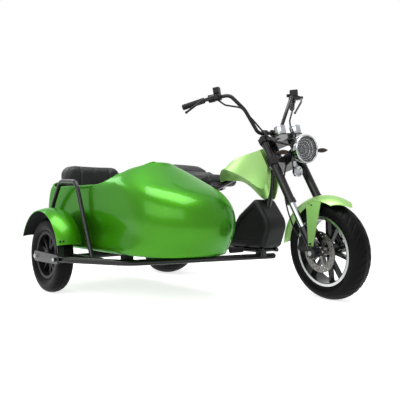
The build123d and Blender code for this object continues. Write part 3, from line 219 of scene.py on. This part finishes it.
candy_green = flake_paint(
    "candy green paint", (0.015, 0.13, 0.0015), (0.066, 0.29, 0.005), (0.40, 1.0, 0.25), 0.34,
)
pale_green = flake_paint("pale green paint", (0.19, 0.44, 0.10), (0.48, 0.71, 0.28), (0.80, 1.0, 0.65), 0.34)


def black_gloss(name, rough, coat):
    paint = Finish(name, Coat_Weight=coat, Coat_Roughness=0.06, Coat_IOR=1.35, Specular_IOR_Level=0.22)
    dust = paint.noise(22.0, 4)
    paint.set(Base_Color=paint.mix(dust, colour(0.003, 0.003, 0.004), colour(0.009, 0.009, 0.010)))
    paint.set(Roughness=dust * 0.16 + rough)
    paint.bump(paint.noise(420.0, 2), 0.06, 0.0004)
    return paint


frame_black = black_gloss("black frame enamel", 0.20, 0.35)
satin_black = black_gloss("satin black casting", 0.40, 0.0)

# %% [markdown]
# Moulded plastic has a fine stipple, bare metal has brushed or machined lines, and rubber is nearly
# flat with a dusty bloom. Each is a colour that drifts a little, a roughness that follows the same
# noise, and a bump at the scale of the real texture.

# %% Plastic, rubber, metal


def stippled(name, base, light, rough, grain, depth):
    plastic = Finish(name, Specular_IOR_Level=0.16)
    drift = plastic.noise(9.0, 3)
    plastic.set(Base_Color=plastic.mix(drift, colour(*base), colour(*light)), Roughness=drift * 0.15 + rough)
    plastic.bump(plastic.noise(grain, 2), 0.25, depth)
    return plastic


black_plastic = stippled("black plastic", (0.007, 0.007, 0.008), (0.018, 0.018, 0.019), 0.38, 900.0, 0.0004)
case_grey = stippled(
    "battery case plastic", (0.006, 0.006, 0.007), (0.015, 0.015, 0.016), 0.34, 700.0, 0.0004,
)
rubber = stippled("rubber", (0.010, 0.010, 0.010), (0.030, 0.030, 0.029), 0.62, 600.0, 0.0006)
tyre_rubber = stippled("tyre rubber", (0.0015, 0.0015, 0.0015), (0.004, 0.004, 0.004), 0.36, 300.0, 0.0005)
tyre_rubber.set(Specular_IOR_Level=0.07)

chrome = Finish("chrome", Metallic=1.0)
smear = chrome.noise(16.0, 4)
chrome.set(
    Base_Color=chrome.mix(smear, colour(0.24, 0.25, 0.27), colour(0.52, 0.53, 0.55)),
    Roughness=smear * 0.10 + 0.05,
)

disc_steel = Finish("ground disc steel", Metallic=1.0)
FRONT_AXLE = parked([0, 0, 262])
FRONT_AXLE_LINE = turned([0, 1, 0])
disc_radius = disc_steel.from_axle(FRONT_AXLE, FRONT_AXLE_LINE)
ground = (disc_radius * 2600.0).math("SINE")
disc_steel.set(
    Base_Color=disc_steel.mix(disc_steel.noise(30.0, 4), colour(0.15, 0.145, 0.14), colour(0.28, 0.27, 0.26)),
    Roughness=ground * 0.06 + 0.32,
)
disc_steel.bump(ground, 0.2, 0.0003)

steel = Finish("plain steel", Metallic=1.0)
steel.set(
    Base_Color=steel.mix(steel.noise(40.0, 4), colour(0.40, 0.40, 0.41), colour(0.62, 0.62, 0.63)),
    Roughness=steel.noise(60.0, 3) * 0.2 + 0.22,
)

front_casting = black_gloss("front wheel casting", 0.24, 0.4)
rim_radius = front_casting.from_axle(FRONT_AXLE, FRONT_AXLE_LINE)
lip = rim_radius > 0.1735
turning = (rim_radius * 3000.0).math("SINE")
front_casting.set(
    Base_Color=front_casting.mix(lip, colour(0.006, 0.006, 0.007), colour(0.52, 0.52, 0.53)),
    Metallic=lip * 1.0, Roughness=turning * 0.04 + lip * 0.02 + 0.22, Coat_Weight=0.3 - lip * 0.3,
)

leather = Finish("black leather", Specular_IOR_Level=0.3)
pores = {"Vector": leather.place, "Scale": 420.0}
grain = leather.node("ShaderNodeTexVoronoi", {"feature": "DISTANCE_TO_EDGE"}, pores)
crease = leather.noise(28.0, 5, 0.6)
leather.set(
    Base_Color=leather.mix(crease, colour(0.006, 0.006, 0.007), colour(0.018, 0.018, 0.019)),
    Roughness=crease * 0.22 + 0.34,
)
leather.bump(grain.math("MINIMUM", 0.12) * 4.0 + crease * 0.8, 0.35, 0.0009)

clear_glass = Finish("lamp glass", Alpha=0.10, IOR=1.45, Specular_IOR_Level=0.5)
haze = clear_glass.noise(60.0, 2)
clear_glass.set(
    Base_Color=clear_glass.mix(haze, colour(0.55, 0.57, 0.58), colour(0.75, 0.77, 0.78)),
    Roughness=haze * 0.03,
)
red_lens = Finish("red lens", Coat_Weight=0.8, Coat_Roughness=0.04)
ribs = red_lens.node("ShaderNodeTexWave", {"bands_direction": "Y"}, {"Vector": red_lens.place, "Scale": 40.0})
red_lens.set(
    Base_Color=red_lens.mix(ribs, colour(0.22, 0.004, 0.004), colour(0.55, 0.012, 0.010)),
    Roughness=ribs * 0.1 + 0.12,
)
red_lens.bump(ribs, 0.4, 0.001)

smoked_chrome = Finish("smoked reflector", Metallic=1.0)
smoke = smoked_chrome.noise(40.0, 3)
smoked_chrome.set(
    Base_Color=smoked_chrome.mix(smoke, colour(0.010, 0.010, 0.012), colour(0.045, 0.045, 0.048)),
    Roughness=0.18,
)

AHEAD = turned([1, 0, 0])
SIGNAL_FACE = parked([-146, 0, 800])
signal_black = stippled("signal housing", (0.010, 0.010, 0.011), (0.024, 0.024, 0.026), 0.30, 800.0, 0.0003)
lens_side = signal_black.dot(signal_black.place, tuple(AHEAD)) > float(SIGNAL_FACE @ AHEAD)
lens_colour = signal_black.mix(lens_side, colour(0.008, 0.008, 0.009), colour(0.030, 0.018, 0.012))
signal_black.set(Base_Color=lens_colour)



def dial_paint(name, rough, scale, dark, light):
    paint = Finish(name, Roughness=rough)
    paint.set(Base_Color=paint.mix(paint.noise(scale, 2), colour(*dark), colour(*light)))
    return paint


dial_face = dial_paint("dial face", 0.35, 50.0, (0.012, 0.012, 0.014), (0.028, 0.028, 0.030))
dial_white = dial_paint("dial marks", 0.5, 80.0, (0.70, 0.70, 0.68), (0.82, 0.82, 0.80))
dial_red = dial_paint("dial needle", 0.4, 80.0, (0.60, 0.03, 0.02), (0.75, 0.05, 0.03))

ribbed_grip = stippled(
    "ribbed grip rubber", (0.010, 0.010, 0.010), (0.024, 0.024, 0.024), 0.55, 800.0, 0.0004,
)
ring_place = {"Vector": ribbed_grip.place, "Scale": 55.0}
rings = ribbed_grip.node("ShaderNodeTexWave", {"bands_direction": "Y"}, ring_place)
ribbed_grip.bump(rings, 0.7, 0.0015)

NODE_FINISH = {
    candy_green: "sidecar_body sidecar_fender",
    pale_green: "tank_cover front_fender",
    frame_black: "down_tube fender_stays fork_lugs fork_sleeves gauge_plate grab_hoop handlebar "
                 "head_and_spine lamp_bracket lower_clamp lower_frame rear_arms rear_fender rear_shocks "
                 "seat_frame sidecar_axle_plate sidecar_brace sidecar_cross_tubes sidecar_rails "
                 "upper_clamp brake_levers",
    satin_black: "brake_perches front_caliper rear_wheel_motor sidecar_wheel_casting",
    black_plastic: "control_cables switch_pods",
    case_grey: "battery_case",
    rubber: "body_mounts foot_pegs",
    ribbed_grip: "grips",
    tyre_rubber: "front_tyre rear_tyre sidecar_tyre",
    chrome: "fork_stanchions gauge_cups headlamp_shell horn",
    steel: "front_axle rear_and_sidecar_axles",
    disc_steel: "front_brake_disc",
    front_casting: "front_wheel_casting",
    leather: "passenger_backrest passenger_cushion pillion_seat rider_seat",
    clear_glass: "headlamp_glass",
    red_lens: "tail_lamp",
    signal_black: "front_signals",
    dial_face: "gauge_faces",
}
for finish, names in NODE_FINISH.items():
    for name in names.split():
        slots = nodes[name].data.materials
        slots.clear()
        slots.append(finish.material)
bare = set(nodes) - {name for names in NODE_FINISH.values() for name in names.split()}
print("nodes without a finish:", sorted(bare))

# %% [markdown]
# New pieces are grids of points worked out with numpy: one direction runs along the piece, the other
# round it. A piece may hold several grids. Doubled points at poles and seams are merged, and the faces
# are turned outwards.

# %% Making pieces


def patch(grid, close_rows=False, close_columns=False):
    """Points and quads of a grid of shape (rows, columns, 3); a closed direction wraps round."""
    index = np.arange(grid.shape[0] * grid.shape[1]).reshape(grid.shape[:2])
    if close_rows:
        index = np.vstack([index, index[:1]])
    if close_columns:
        index = np.hstack([index, index[:, :1]])
    quads = np.stack([index[:-1, :-1], index[1:, :-1], index[1:, 1:], index[:-1, 1:]], axis=-1)
    return grid.reshape(-1, 3), quads.reshape(-1, 4)


def piece(name, patches, body, finish, smooth=True):
    """One object from any number of patches, riding on a body."""
    starts = np.cumsum([0] + [len(points) for points, _ in patches])
    points = np.concatenate([points for points, _ in patches])
    faces = np.concatenate([quads + start for (_, quads), start in zip(patches, starts)])
    mesh = bpy.data.meshes.new(name)
    mesh.from_pydata(points.tolist(), [], faces.tolist())
    work = bmesh.new()
    work.from_mesh(mesh)
    bmesh.ops.remove_doubles(work, verts=work.verts, dist=1e-6)
    bmesh.ops.recalc_face_normals(work, faces=work.faces)
    work.to_mesh(mesh)
    work.free()
    mesh.polygons.foreach_set("use_smooth", np.full(len(mesh.polygons), smooth))
    mesh.materials.append(finish.material)
    made = bpy.data.objects.new(name, mesh)
    bpy.context.scene.collection.objects.link(made)
    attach(made, body)
    print(name, "faces:", len(mesh.polygons))
    return made


def unit(vectors):
    return vectors / np.linalg.norm(vectors, axis=-1, keepdims=True)


def round_frame(axis):
    """Two unit vectors square to each axis and to each other."""
    axis = unit(np.asarray(axis, float))
    helper = np.where(np.abs(axis[..., 2:3]) < 0.9, np.array([0.0, 0.0, 1.0]), np.array([1.0, 0.0, 0.0]))
    first = unit(np.cross(helper, axis))
    return first, np.cross(axis, first)


def turned_shape(centre, axis, profile, sides=48):
    """A profile of (radius, height) pairs spun about an axis: c + h a + r (cos t u + sin t w)."""
    profile = np.asarray(profile, float)
    axis = unit(np.asarray(axis, float))
    first, second = round_frame(axis)
    t = np.arange(sides) * 2 * math.pi / sides
    ring = np.cos(t)[:, None] * first + np.sin(t)[:, None] * second
    grid = np.asarray(centre) + profile[:, 1, None, None] * axis + profile[:, 0, None, None] * ring
    return patch(grid, close_columns=True)


def hose(path, radius, sides=14, close=False):
    """A circle carried along a path: p + r (cos t u + sin t w), with u and w square to the path."""
    path = np.asarray(path, float)
    if close:
        run = unit(np.roll(path, -1, axis=0) - np.roll(path, 1, axis=0))
    else:
        run = unit(np.gradient(path, axis=0))
    first, second = round_frame(run)
    t = np.arange(sides) * 2 * math.pi / sides
    ring = np.cos(t)[None, :, None] * first[:, None] + np.sin(t)[None, :, None] * second[:, None]
    grid = path[:, None] + radius * ring
    if not close:
        caps = [np.repeat(end[None, None], sides, 1) for end in (path[0], path[-1])]
        grid = np.concatenate([caps[0], grid, caps[1]])
    return patch(grid, close_rows=close, close_columns=True)


def heads(places, axis, radius, height, sides=6):
    """Bolt heads: one chamfered prism at each place, standing along the axis."""
    profile = [(0, 0), (radius, 0), (radius, 0.75 * height), (0.8 * radius, height), (0, height)]
    return [turned_shape(place, axis, profile, sides) for place in places]


# %% [markdown]
# Tyres: the solid has the true section, and the road surface needs its pattern. The skin is the same
# section of arcs, spun about the axle on a fine grid, and the radius drops by a few millimetres inside
# the grooves. Slanted grooves alternate left and right, as on a street tyre.

# %% Tyres


def three_point_arc(start, middle, end, steps):
    """Points of the circle through three points, from the first to the last."""
    (ax, ay), (bx, by), (cx, cy) = start, middle, end
    d = 2 * (ax * (by - cy) + bx * (cy - ay) + cx * (ay - by))
    ux = ((ax**2 + ay**2) * (by - cy) + (bx**2 + by**2) * (cy - ay) + (cx**2 + cy**2) * (ay - by)) / d
    uy = ((ax**2 + ay**2) * (cx - bx) + (bx**2 + by**2) * (ax - cx) + (cx**2 + cy**2) * (bx - ax)) / d
    angles = np.unwrap([math.atan2(y - uy, x - ux) for x, y in (start, middle, end)])
    a = np.interp(np.linspace(0, 2, steps), [0, 1, 2], angles)
    r = math.hypot(ax - ux, ay - uy)
    return np.stack([ux + r * np.cos(a), uy + r * np.sin(a)], axis=-1)


def tyre_skin(radius, width, rim, tread_share, pitches, around=420):
    """Section arcs (sidewall, tread, sidewall) spun round; groove depth = d * mask(angle, place on tread)."""
    bead = width / 2 - 20
    lip_r = rim + 9.3
    tread = width * tread_share / 2
    shoulder = radius - (width / 2 - tread) * 1.3
    side_mid = (lip_r + shoulder) / 2
    left = three_point_arc((-bead, lip_r), (-width / 2, side_mid), (-tread, shoulder), 16)
    top = three_point_arc((-tread, shoulder), (0, radius), (tread, shoulder), 46)
    right = three_point_arc((tread, shoulder), (width / 2, side_mid), (bead, lip_r), 16)
    section = np.concatenate([[(-bead, rim + 0.3)], left, top[1:], right[1:], [(bead, rim + 0.3)]])
    t = np.arange(around) * 2 * math.pi / around
    s = section[:, 0] / tread
    turn = t[None, :] / (2 * math.pi) * pitches
    side = np.where(s[:, None] > 0, 0.5, 0.0)
    phase = (turn + side + 0.9 * np.abs(s)[:, None] ** 1.4) % 1.0
    slant = np.exp(-(((phase - 0.5) / 0.085) ** 4))
    off_centre = np.abs(s[:, None])
    on_tread = np.clip((1.02 - off_centre) / 0.06, 0, 1) * np.clip((off_centre - 0.10) / 0.08, 0, 1)
    centre_line = np.exp(-(((off_centre - 0.30) / 0.035) ** 4))
    depth = 4.0 * np.maximum(slant * on_tread, centre_line)
    wall = section[:, 1][:, None]
    rib = 0.8 * np.exp(-(((wall - lip_r - 14) / 2.0) ** 2)) * (off_centre > 1.0)
    r = wall - depth * (off_centre <= 1.02) + rib
    return np.stack([r * np.cos(t), np.repeat(section[:, :1], around, 1), r * np.sin(t)], axis=-1)


front_skin = parked(tyre_skin(262, 120, 178, 0.80, 34) + [0, 0, 262])
rear_skin = at(tyre_skin(238, 195, 152, 0.86, 30) + [-1460, 0, 238])
side_skin = at(tyre_skin(215, 95, 127, 0.80, 34) + [-1170, -1040, 215])
for name, skin in (("front", front_skin), ("rear", rear_skin), ("sidecar", side_skin)):
    made = piece(f"{name}_tyre_skin", [patch(skin, True, True)], f"{name}_wheel", tyre_rubber)
    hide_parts(f"{name}_tyre")

# %% [markdown]
# Seats are foam under leather. The solid pads give the size. A copy is remeshed into even cells, and
# a short cloth run with inner pressure rounds it as foam does, with a limit on how far it may swell.
# Sewn channels are pressed in afterwards, because the remesh would lose them.

# %% Seats


def mesh_points(mesh):
    points = np.empty(len(mesh.vertices) * 3)
    mesh.vertices.foreach_get("co", points)
    return points.reshape(-1, 3)


def mesh_normals(mesh):
    normals = np.empty(len(mesh.vertices) * 3)
    mesh.vertex_normals.foreach_get("vector", normals)
    return normals.reshape(-1, 3)


def set_points(mesh, points):
    mesh.vertices.foreach_set("co", points.ravel())
    mesh.update()


def evaluated(obj):
    graph = bpy.context.evaluated_depsgraph_get()
    return bpy.data.meshes.new_from_object(obj.evaluated_get(graph))


def foam_pad(node, voxel, shrink, limit):
    """A remeshed copy of a pad, drawn in a little and swollen by cloth pressure, at most by the limit."""
    pad = bpy.data.objects.new(node + "_pad", nodes[node].data.copy())
    bpy.context.scene.collection.objects.link(pad)
    work = bmesh.new()
    work.from_mesh(pad.data)
    bmesh.ops.remove_doubles(work, verts=work.verts, dist=1e-5)
    work.to_mesh(pad.data)
    work.free()
    remesh = pad.modifiers.new("even cells", "REMESH")
    remesh.mode = "VOXEL"
    remesh.voxel_size = voxel
    even = evaluated(pad)
    pad.modifiers.clear()
    pad.data = even
    start = mesh_points(even) - mesh_normals(even) * shrink
    set_points(even, start)
    cloth = pad.modifiers.new("foam", "CLOTH")
    cloth.settings.use_pressure = True
    cloth.settings.uniform_pressure_force = 4.0
    cloth.settings.effector_weights.gravity = 0.0
    for step in range(1, 21):
        bpy.context.scene.frame_set(step)
    swollen = mesh_points(evaluated(pad))
    pad.modifiers.clear()
    bpy.context.scene.frame_set(1)
    move = swollen - start
    length = np.linalg.norm(move, axis=1, keepdims=True)
    set_points(even, start + move * np.minimum(1, limit / np.maximum(length, 1e-9)))
    even.polygons.foreach_set("use_smooth", np.ones(len(even.polygons), bool))
    even.materials.clear()
    even.materials.append(leather.material)
    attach(pad, "chassis")
    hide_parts(node)
    return pad


def press(pad, facing, lines, width, depth):
    """Sewn channels: each line is a function that gives the distance of a point from the seam."""
    points = mesh_points(pad.data)
    face = np.clip(mesh_normals(pad.data) @ np.asarray(facing, float), 0, 1)[:, None]
    groove = sum(np.exp(-((line(points) / width) ** 2)) for line in lines)[:, None]
    set_points(pad.data, points - np.asarray(facing, float) * face * np.clip(groove, 0, 1) * depth)
    soft = pad.modifiers.new("soft", "SUBSURF")
    soft.levels = soft.render_levels = 1


def seams(middle, places):
    """Straight seams along x: the distance of a point from each is y - middle - place."""
    return [lambda p, y=y: p[:, 1] - middle - y for y in places]


POD_MIDDLE = at([0, -620, 0])[1]
BIKE_MIDDLE = at([0, 0, 0])[1]
back_pad = foam_pad("passenger_backrest", 0.006, 0.004, 0.006)
press(back_pad, (1, 0, 0), seams(POD_MIDDLE, (-0.105, 0.105)), 0.006, 0.009)
cushion_pad = foam_pad("passenger_cushion", 0.006, 0.004, 0.007)
press(cushion_pad, (0, 0, 1), seams(POD_MIDDLE, (-0.115, 0.115)), 0.006, 0.009)
rider_pad = foam_pad("rider_seat", 0.005, 0.003, 0.004)
press(rider_pad, (0, 0, 1), seams(BIKE_MIDDLE, (-0.078, 0.078)), 0.005, 0.005)
pillion_pad = foam_pad("pillion_seat", 0.005, 0.003, 0.004)
press(pillion_pad, (0, 0, 1), seams(BIKE_MIDDLE, (-0.070, 0.070)), 0.005, 0.005)

# %% [markdown]
# The sidecar's edge is rolled over, not sharp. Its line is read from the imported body: the points on the
# cut lie on known planes and arcs, so they are picked out, sorted round the cockpit, and a thin round
# bead follows the middle of the wall.

# %% Rolled edge of the sidecar body
RIM_Z = 610
RISE_X, RISE_R = -930, 330
TAIL_X, TAIL_R = -1430, 170
LIP_X = -670
shell = mesh_points(nodes["sidecar_body"].data) * 1000 - DRAWING_ORIGIN
shell_x, shell_z = shell[:, 0], shell[:, 2]
from_rise = np.hypot(shell_x - RISE_X, shell_z - RIM_Z - RISE_R)
from_tail = np.hypot(shell_x - TAIL_X, shell_z - RIM_Z - TAIL_R)
on_flat = (np.abs(shell_z - RIM_Z) < 0.4) & (shell_x < RISE_X + 1) & (shell_x > TAIL_X - 1)
on_rise = (np.abs(from_rise - RISE_R) < 0.6) & (shell_x > RISE_X) & (shell_z < 800)
on_tail = (np.abs(from_tail - TAIL_R) < 0.6) & (shell_x < TAIL_X)
on_lip = np.abs(shell_x - LIP_X) < 0.4
edge = shell[(on_flat | on_rise | on_tail | on_lip) & (shell_z > 600)]
angle = np.arctan2(edge[:, 1] + 620, edge[:, 0] + 1000)
order = np.argsort(angle)
steps = np.linspace(-math.pi, math.pi, 361)[:-1]
edge, angle = edge[order], angle[order]
loop = np.stack([np.interp(steps, angle, edge[:, k], period=2 * math.pi) for k in range(3)], axis=-1)
for _ in range(3):
    loop = (np.roll(loop, 1, axis=0) + loop + np.roll(loop, -1, axis=0)) / 3
piece("rolled_edge", [hose(at(loop), 0.0062, 10, close=True)], "chassis", candy_green)

# %% [markdown]
# Inside the headlamp, a dark bowl with stepped rings surrounds a small projector lens, and a plated
# ring holds the glass. All are spun profiles on the lamp's own axis, which turns with the fork.

# %% Headlamp
LAMP = parked([-116, 0, 810])
bezel = [
    (0.0775, -0.010), (0.0790, -0.004), (0.0785, 0.004), (0.0750, 0.0085), (0.0705, 0.0075),
    (0.0695, 0.003), (0.0700, -0.001), (0.0740, -0.006), (0.0775, -0.010),
]
piece("headlamp_ring", [turned_shape(LAMP, AHEAD, bezel, 72)], "fork", chrome)
bowl = [
    (0.066, -0.007), (0.060, -0.016), (0.053, -0.017), (0.050, -0.027),
    (0.042, -0.028), (0.038, -0.040), (0.022, -0.044),
]
piece("headlamp_bowl", [turned_shape(LAMP, AHEAD, bowl, 60)], "fork", smoked_chrome)
r = np.linspace(0, 1, 10)
projector = np.stack([0.022 * np.sin(r * math.pi / 2), -0.044 + 0.016 * np.cos(r * math.pi / 2)], axis=-1)
piece("headlamp_projector", [turned_shape(LAMP, AHEAD, projector, 40)], "fork", dial_face)

t = np.linspace(0, 2 * math.pi, 13)
wire = 0.0016 * np.stack([np.cos(t), np.sin(t)], axis=-1)
steps_in_bowl = [(0.0570, -0.0125), (0.0455, -0.0235), (0.0300, -0.0370)]
lamp_rings = [turned_shape(LAMP, AHEAD, wire + step, 60) for step in steps_in_bowl]
piece("headlamp_inner_rings", lamp_rings, "fork", steel)

# %% [markdown]
# Each gauge gets a plated ring, a scale of short marks on three quarters of a circle and a needle.

# %% Gauges
TILT = math.radians(15)
GAUGE_UP = turned([-math.sin(TILT), 0, math.cos(TILT)])
GAUGE_AHEAD = turned([math.cos(TILT), 0, math.sin(TILT)])
GAUGE_SIDE = np.cross(GAUGE_UP, GAUGE_AHEAD)
gauge_centres = [parked([-265, y, 946]) for y in (-56, 56)]
rim_ring = [
    (0.0315, -0.004), (0.0320, 0.001), (0.0300, 0.0035), (0.0275, 0.002), (0.0272, -0.002), (0.0315, -0.004),
]
gauge_rings = [turned_shape(centre, GAUGE_UP, rim_ring, 48) for centre in gauge_centres]
piece("gauge_rings", gauge_rings, "fork", chrome)


def mark(centre, degrees, inner, outer, half, lift):
    """A flat bar on the dial between two radii at an angle."""
    angle = math.radians(degrees)
    out = math.cos(angle) * GAUGE_AHEAD + math.sin(angle) * GAUGE_SIDE
    aside = np.cross(GAUGE_UP, out) * half
    base = centre - GAUGE_UP * (0.002 - lift)
    rows = [base + out * inner, base + out * outer]
    return patch(np.array([[row - aside, row + aside] for row in rows]))


scale = np.arange(-135, 136, 15)
marks = [mark(centre, a, 0.019, 0.024, 0.0007, 0.0004) for centre in gauge_centres for a in scale]
piece("gauge_marks", marks, "fork", dial_white, smooth=False)
needles = [mark(centre, -120, -0.004, 0.020, 0.0009, 0.0010) for centre in gauge_centres]
piece("gauge_needles", needles, "fork", dial_red, smooth=False)

# %% [markdown]
# The dark under the sidecar's fender is painted shade. A thin black skin follows its inner face: the same
# crowned section as the solid, a little inside it, spun over the same angle.

# %% Painted shade under the sidecar fender


def painted_shade_skin(centre, radius, drop, half_w, front, rear):
    """Painted shade under a fender: r(s) = R - drop s^2 for s across the band from -1 to 1, spun about the
    axle from rear to front.
    """
    angles = np.radians(np.linspace(rear, front, 60))[:, None]
    s = np.linspace(-1, 1, 17)[None, :]
    r = radius - drop * s**2
    grid = np.stack([r * np.cos(angles), s * half_w + 0 * angles, r * np.sin(angles)], axis=-1)
    return grid + np.asarray(centre, float)


# Painted shade: a black sheet just inside the sidecar fender, where the shadow falls under it.
sidecar_shade_grid = at(painted_shade_skin([-1170, -1047, 215], 265.8, 16, 70.5, 16.5, 156.5))
piece("sidecar_fender_painted_shade", [patch(sidecar_shade_grid)], "chassis", satin_black)

# %% [markdown]
# The front brake's hose leaves the lower clamp, swings behind the fork leg and ends on the caliper. It is
# held at both ends, so it is a fixed piece of the fork: a circle carried along one smooth curve.

# %% Brake hose


def smooth_path(points, steps=60):
    """A Bezier curve of the whole polygon: sum of C(n, k) (1 - t)^(n - k) t^k p_k."""
    points = np.asarray(points, float)
    n = len(points) - 1
    t = np.linspace(0, 1, steps)[:, None]
    weights = [math.comb(n, k) * (1 - t) ** (n - k) * t**k for k in range(n + 1)]
    return sum(weight * point for weight, point in zip(weights, points))


hose_path = [
    (-226, -58, 728), (-250, -66, 660), (-262, -78, 560),
    (-205, -84, 420), (-150, -78, 340), (-118, -74, 312),
]
piece("brake_hose", [hose(parked(smooth_path(hose_path)), 0.0042, 12)], "fork", rubber)

# %% [markdown]
# Bolt heads tell that the frame is bolted and not moulded. They are chamfered hexagons, five round the
# hub of the brake disc and one on the plate that carries the sidecar's axle.

# %% Bolts
a = np.arange(5) * 2 * math.pi / 5
disc_ring = parked(np.stack([22 * np.cos(a), np.full(5, -62.2), 262 + 22 * np.sin(a)], axis=-1))
disc_bolts = heads(disc_ring, -FRONT_AXLE_LINE, 0.0055, 0.004)
piece("disc_bolts", disc_bolts, "front_wheel", steel, smooth=False)
plate_bolt = heads(at([[-925, -1139.2, 212]]), (0, -1, 0), 0.010, 0.006)
piece("axle_plate_bolts", plate_bolt, "chassis", chrome, smooth=False)

# %% [markdown]
# The studio: a pale floor that keeps soft shadows, a white surround for what the camera and mirrors see,
# a wide soft light overhead and two panels in front that draw the bright patches on the paint.

# %% Studio
floor_mesh = bpy.data.meshes.new("floor")
floor_mesh.from_pydata([(-30, -30, 0), (30, -30, 0), (30, 30, 0), (-30, 30, 0)], [], [(0, 1, 2, 3)])
floor = bpy.data.objects.new("floor", floor_mesh)
bpy.context.scene.collection.objects.link(floor)
floor_white = Finish("floor white", Roughness=0.9, Specular_IOR_Level=0.0)
floor_white.set(Base_Color=colour(0.82, 0.82, 0.82), Emission_Strength=0.76)
mirrored = floor_white.ray("Glossy").math("MAXIMUM", floor_white.ray("Transmission"))
seen = floor_white.ray("Camera").math("MAXIMUM", mirrored)
floor_white.set(Emission_Color=floor_white.mix(seen, colour(0, 0, 0), colour(1, 1, 1)))
floor_mesh.materials.append(floor_white.material)

world = bpy.data.worlds.new("studio")
bpy.context.scene.world = world
world.use_nodes = True
tree = world.node_tree
backdrop = tree.nodes["Background"]
light_path = tree.nodes.new("ShaderNodeLightPath")
first_max = tree.nodes.new("ShaderNodeMath")
first_max.operation = "MAXIMUM"
tree.links.new(light_path.outputs["Is Camera Ray"], first_max.inputs[0])
tree.links.new(light_path.outputs["Is Transmission Ray"], first_max.inputs[1])
second_max = tree.nodes.new("ShaderNodeMath")
second_max.operation = "MAXIMUM"
tree.links.new(first_max.outputs[0], second_max.inputs[0])
tree.links.new(light_path.outputs["Is Glossy Ray"], second_max.inputs[1])
strength = tree.nodes.new("ShaderNodeMapRange")
strength.inputs["To Min"].default_value = 0.34
strength.inputs["To Max"].default_value = 1.0
tree.links.new(second_max.outputs[0], strength.inputs["Value"])
tree.links.new(strength.outputs[0], backdrop.inputs["Strength"])
backdrop.inputs["Color"].default_value = colour(1, 1, 1)


def panel(name, place, target, width, height, power):
    light = bpy.data.lights.new(name, "AREA")
    light.shape = "RECTANGLE"
    light.size = width
    light.size_y = height
    light.energy = power
    made = bpy.data.objects.new(name, light)
    made.location = place
    made.rotation_euler = (Vector(target) - Vector(place)).to_track_quat("-Z", "Y").to_euler()
    bpy.context.scene.collection.objects.link(made)


panel("overhead", (0.2, -0.4, 3.4), (0, 0, 0.4), 2.6, 1.8, 105)
panel("left panel", (0.6, -3.6, 2.2), (-0.1, -0.2, 0.5), 2.8, 2.2, 42)
panel("right panel", (2.6, -2.6, 2.4), (0.1, 0.0, 0.5), 2.2, 2.0, 30)
panel("back panel", (-3.2, -1.2, 3.0), (-0.3, 0, 0.5), 1.6, 1.2, 25)
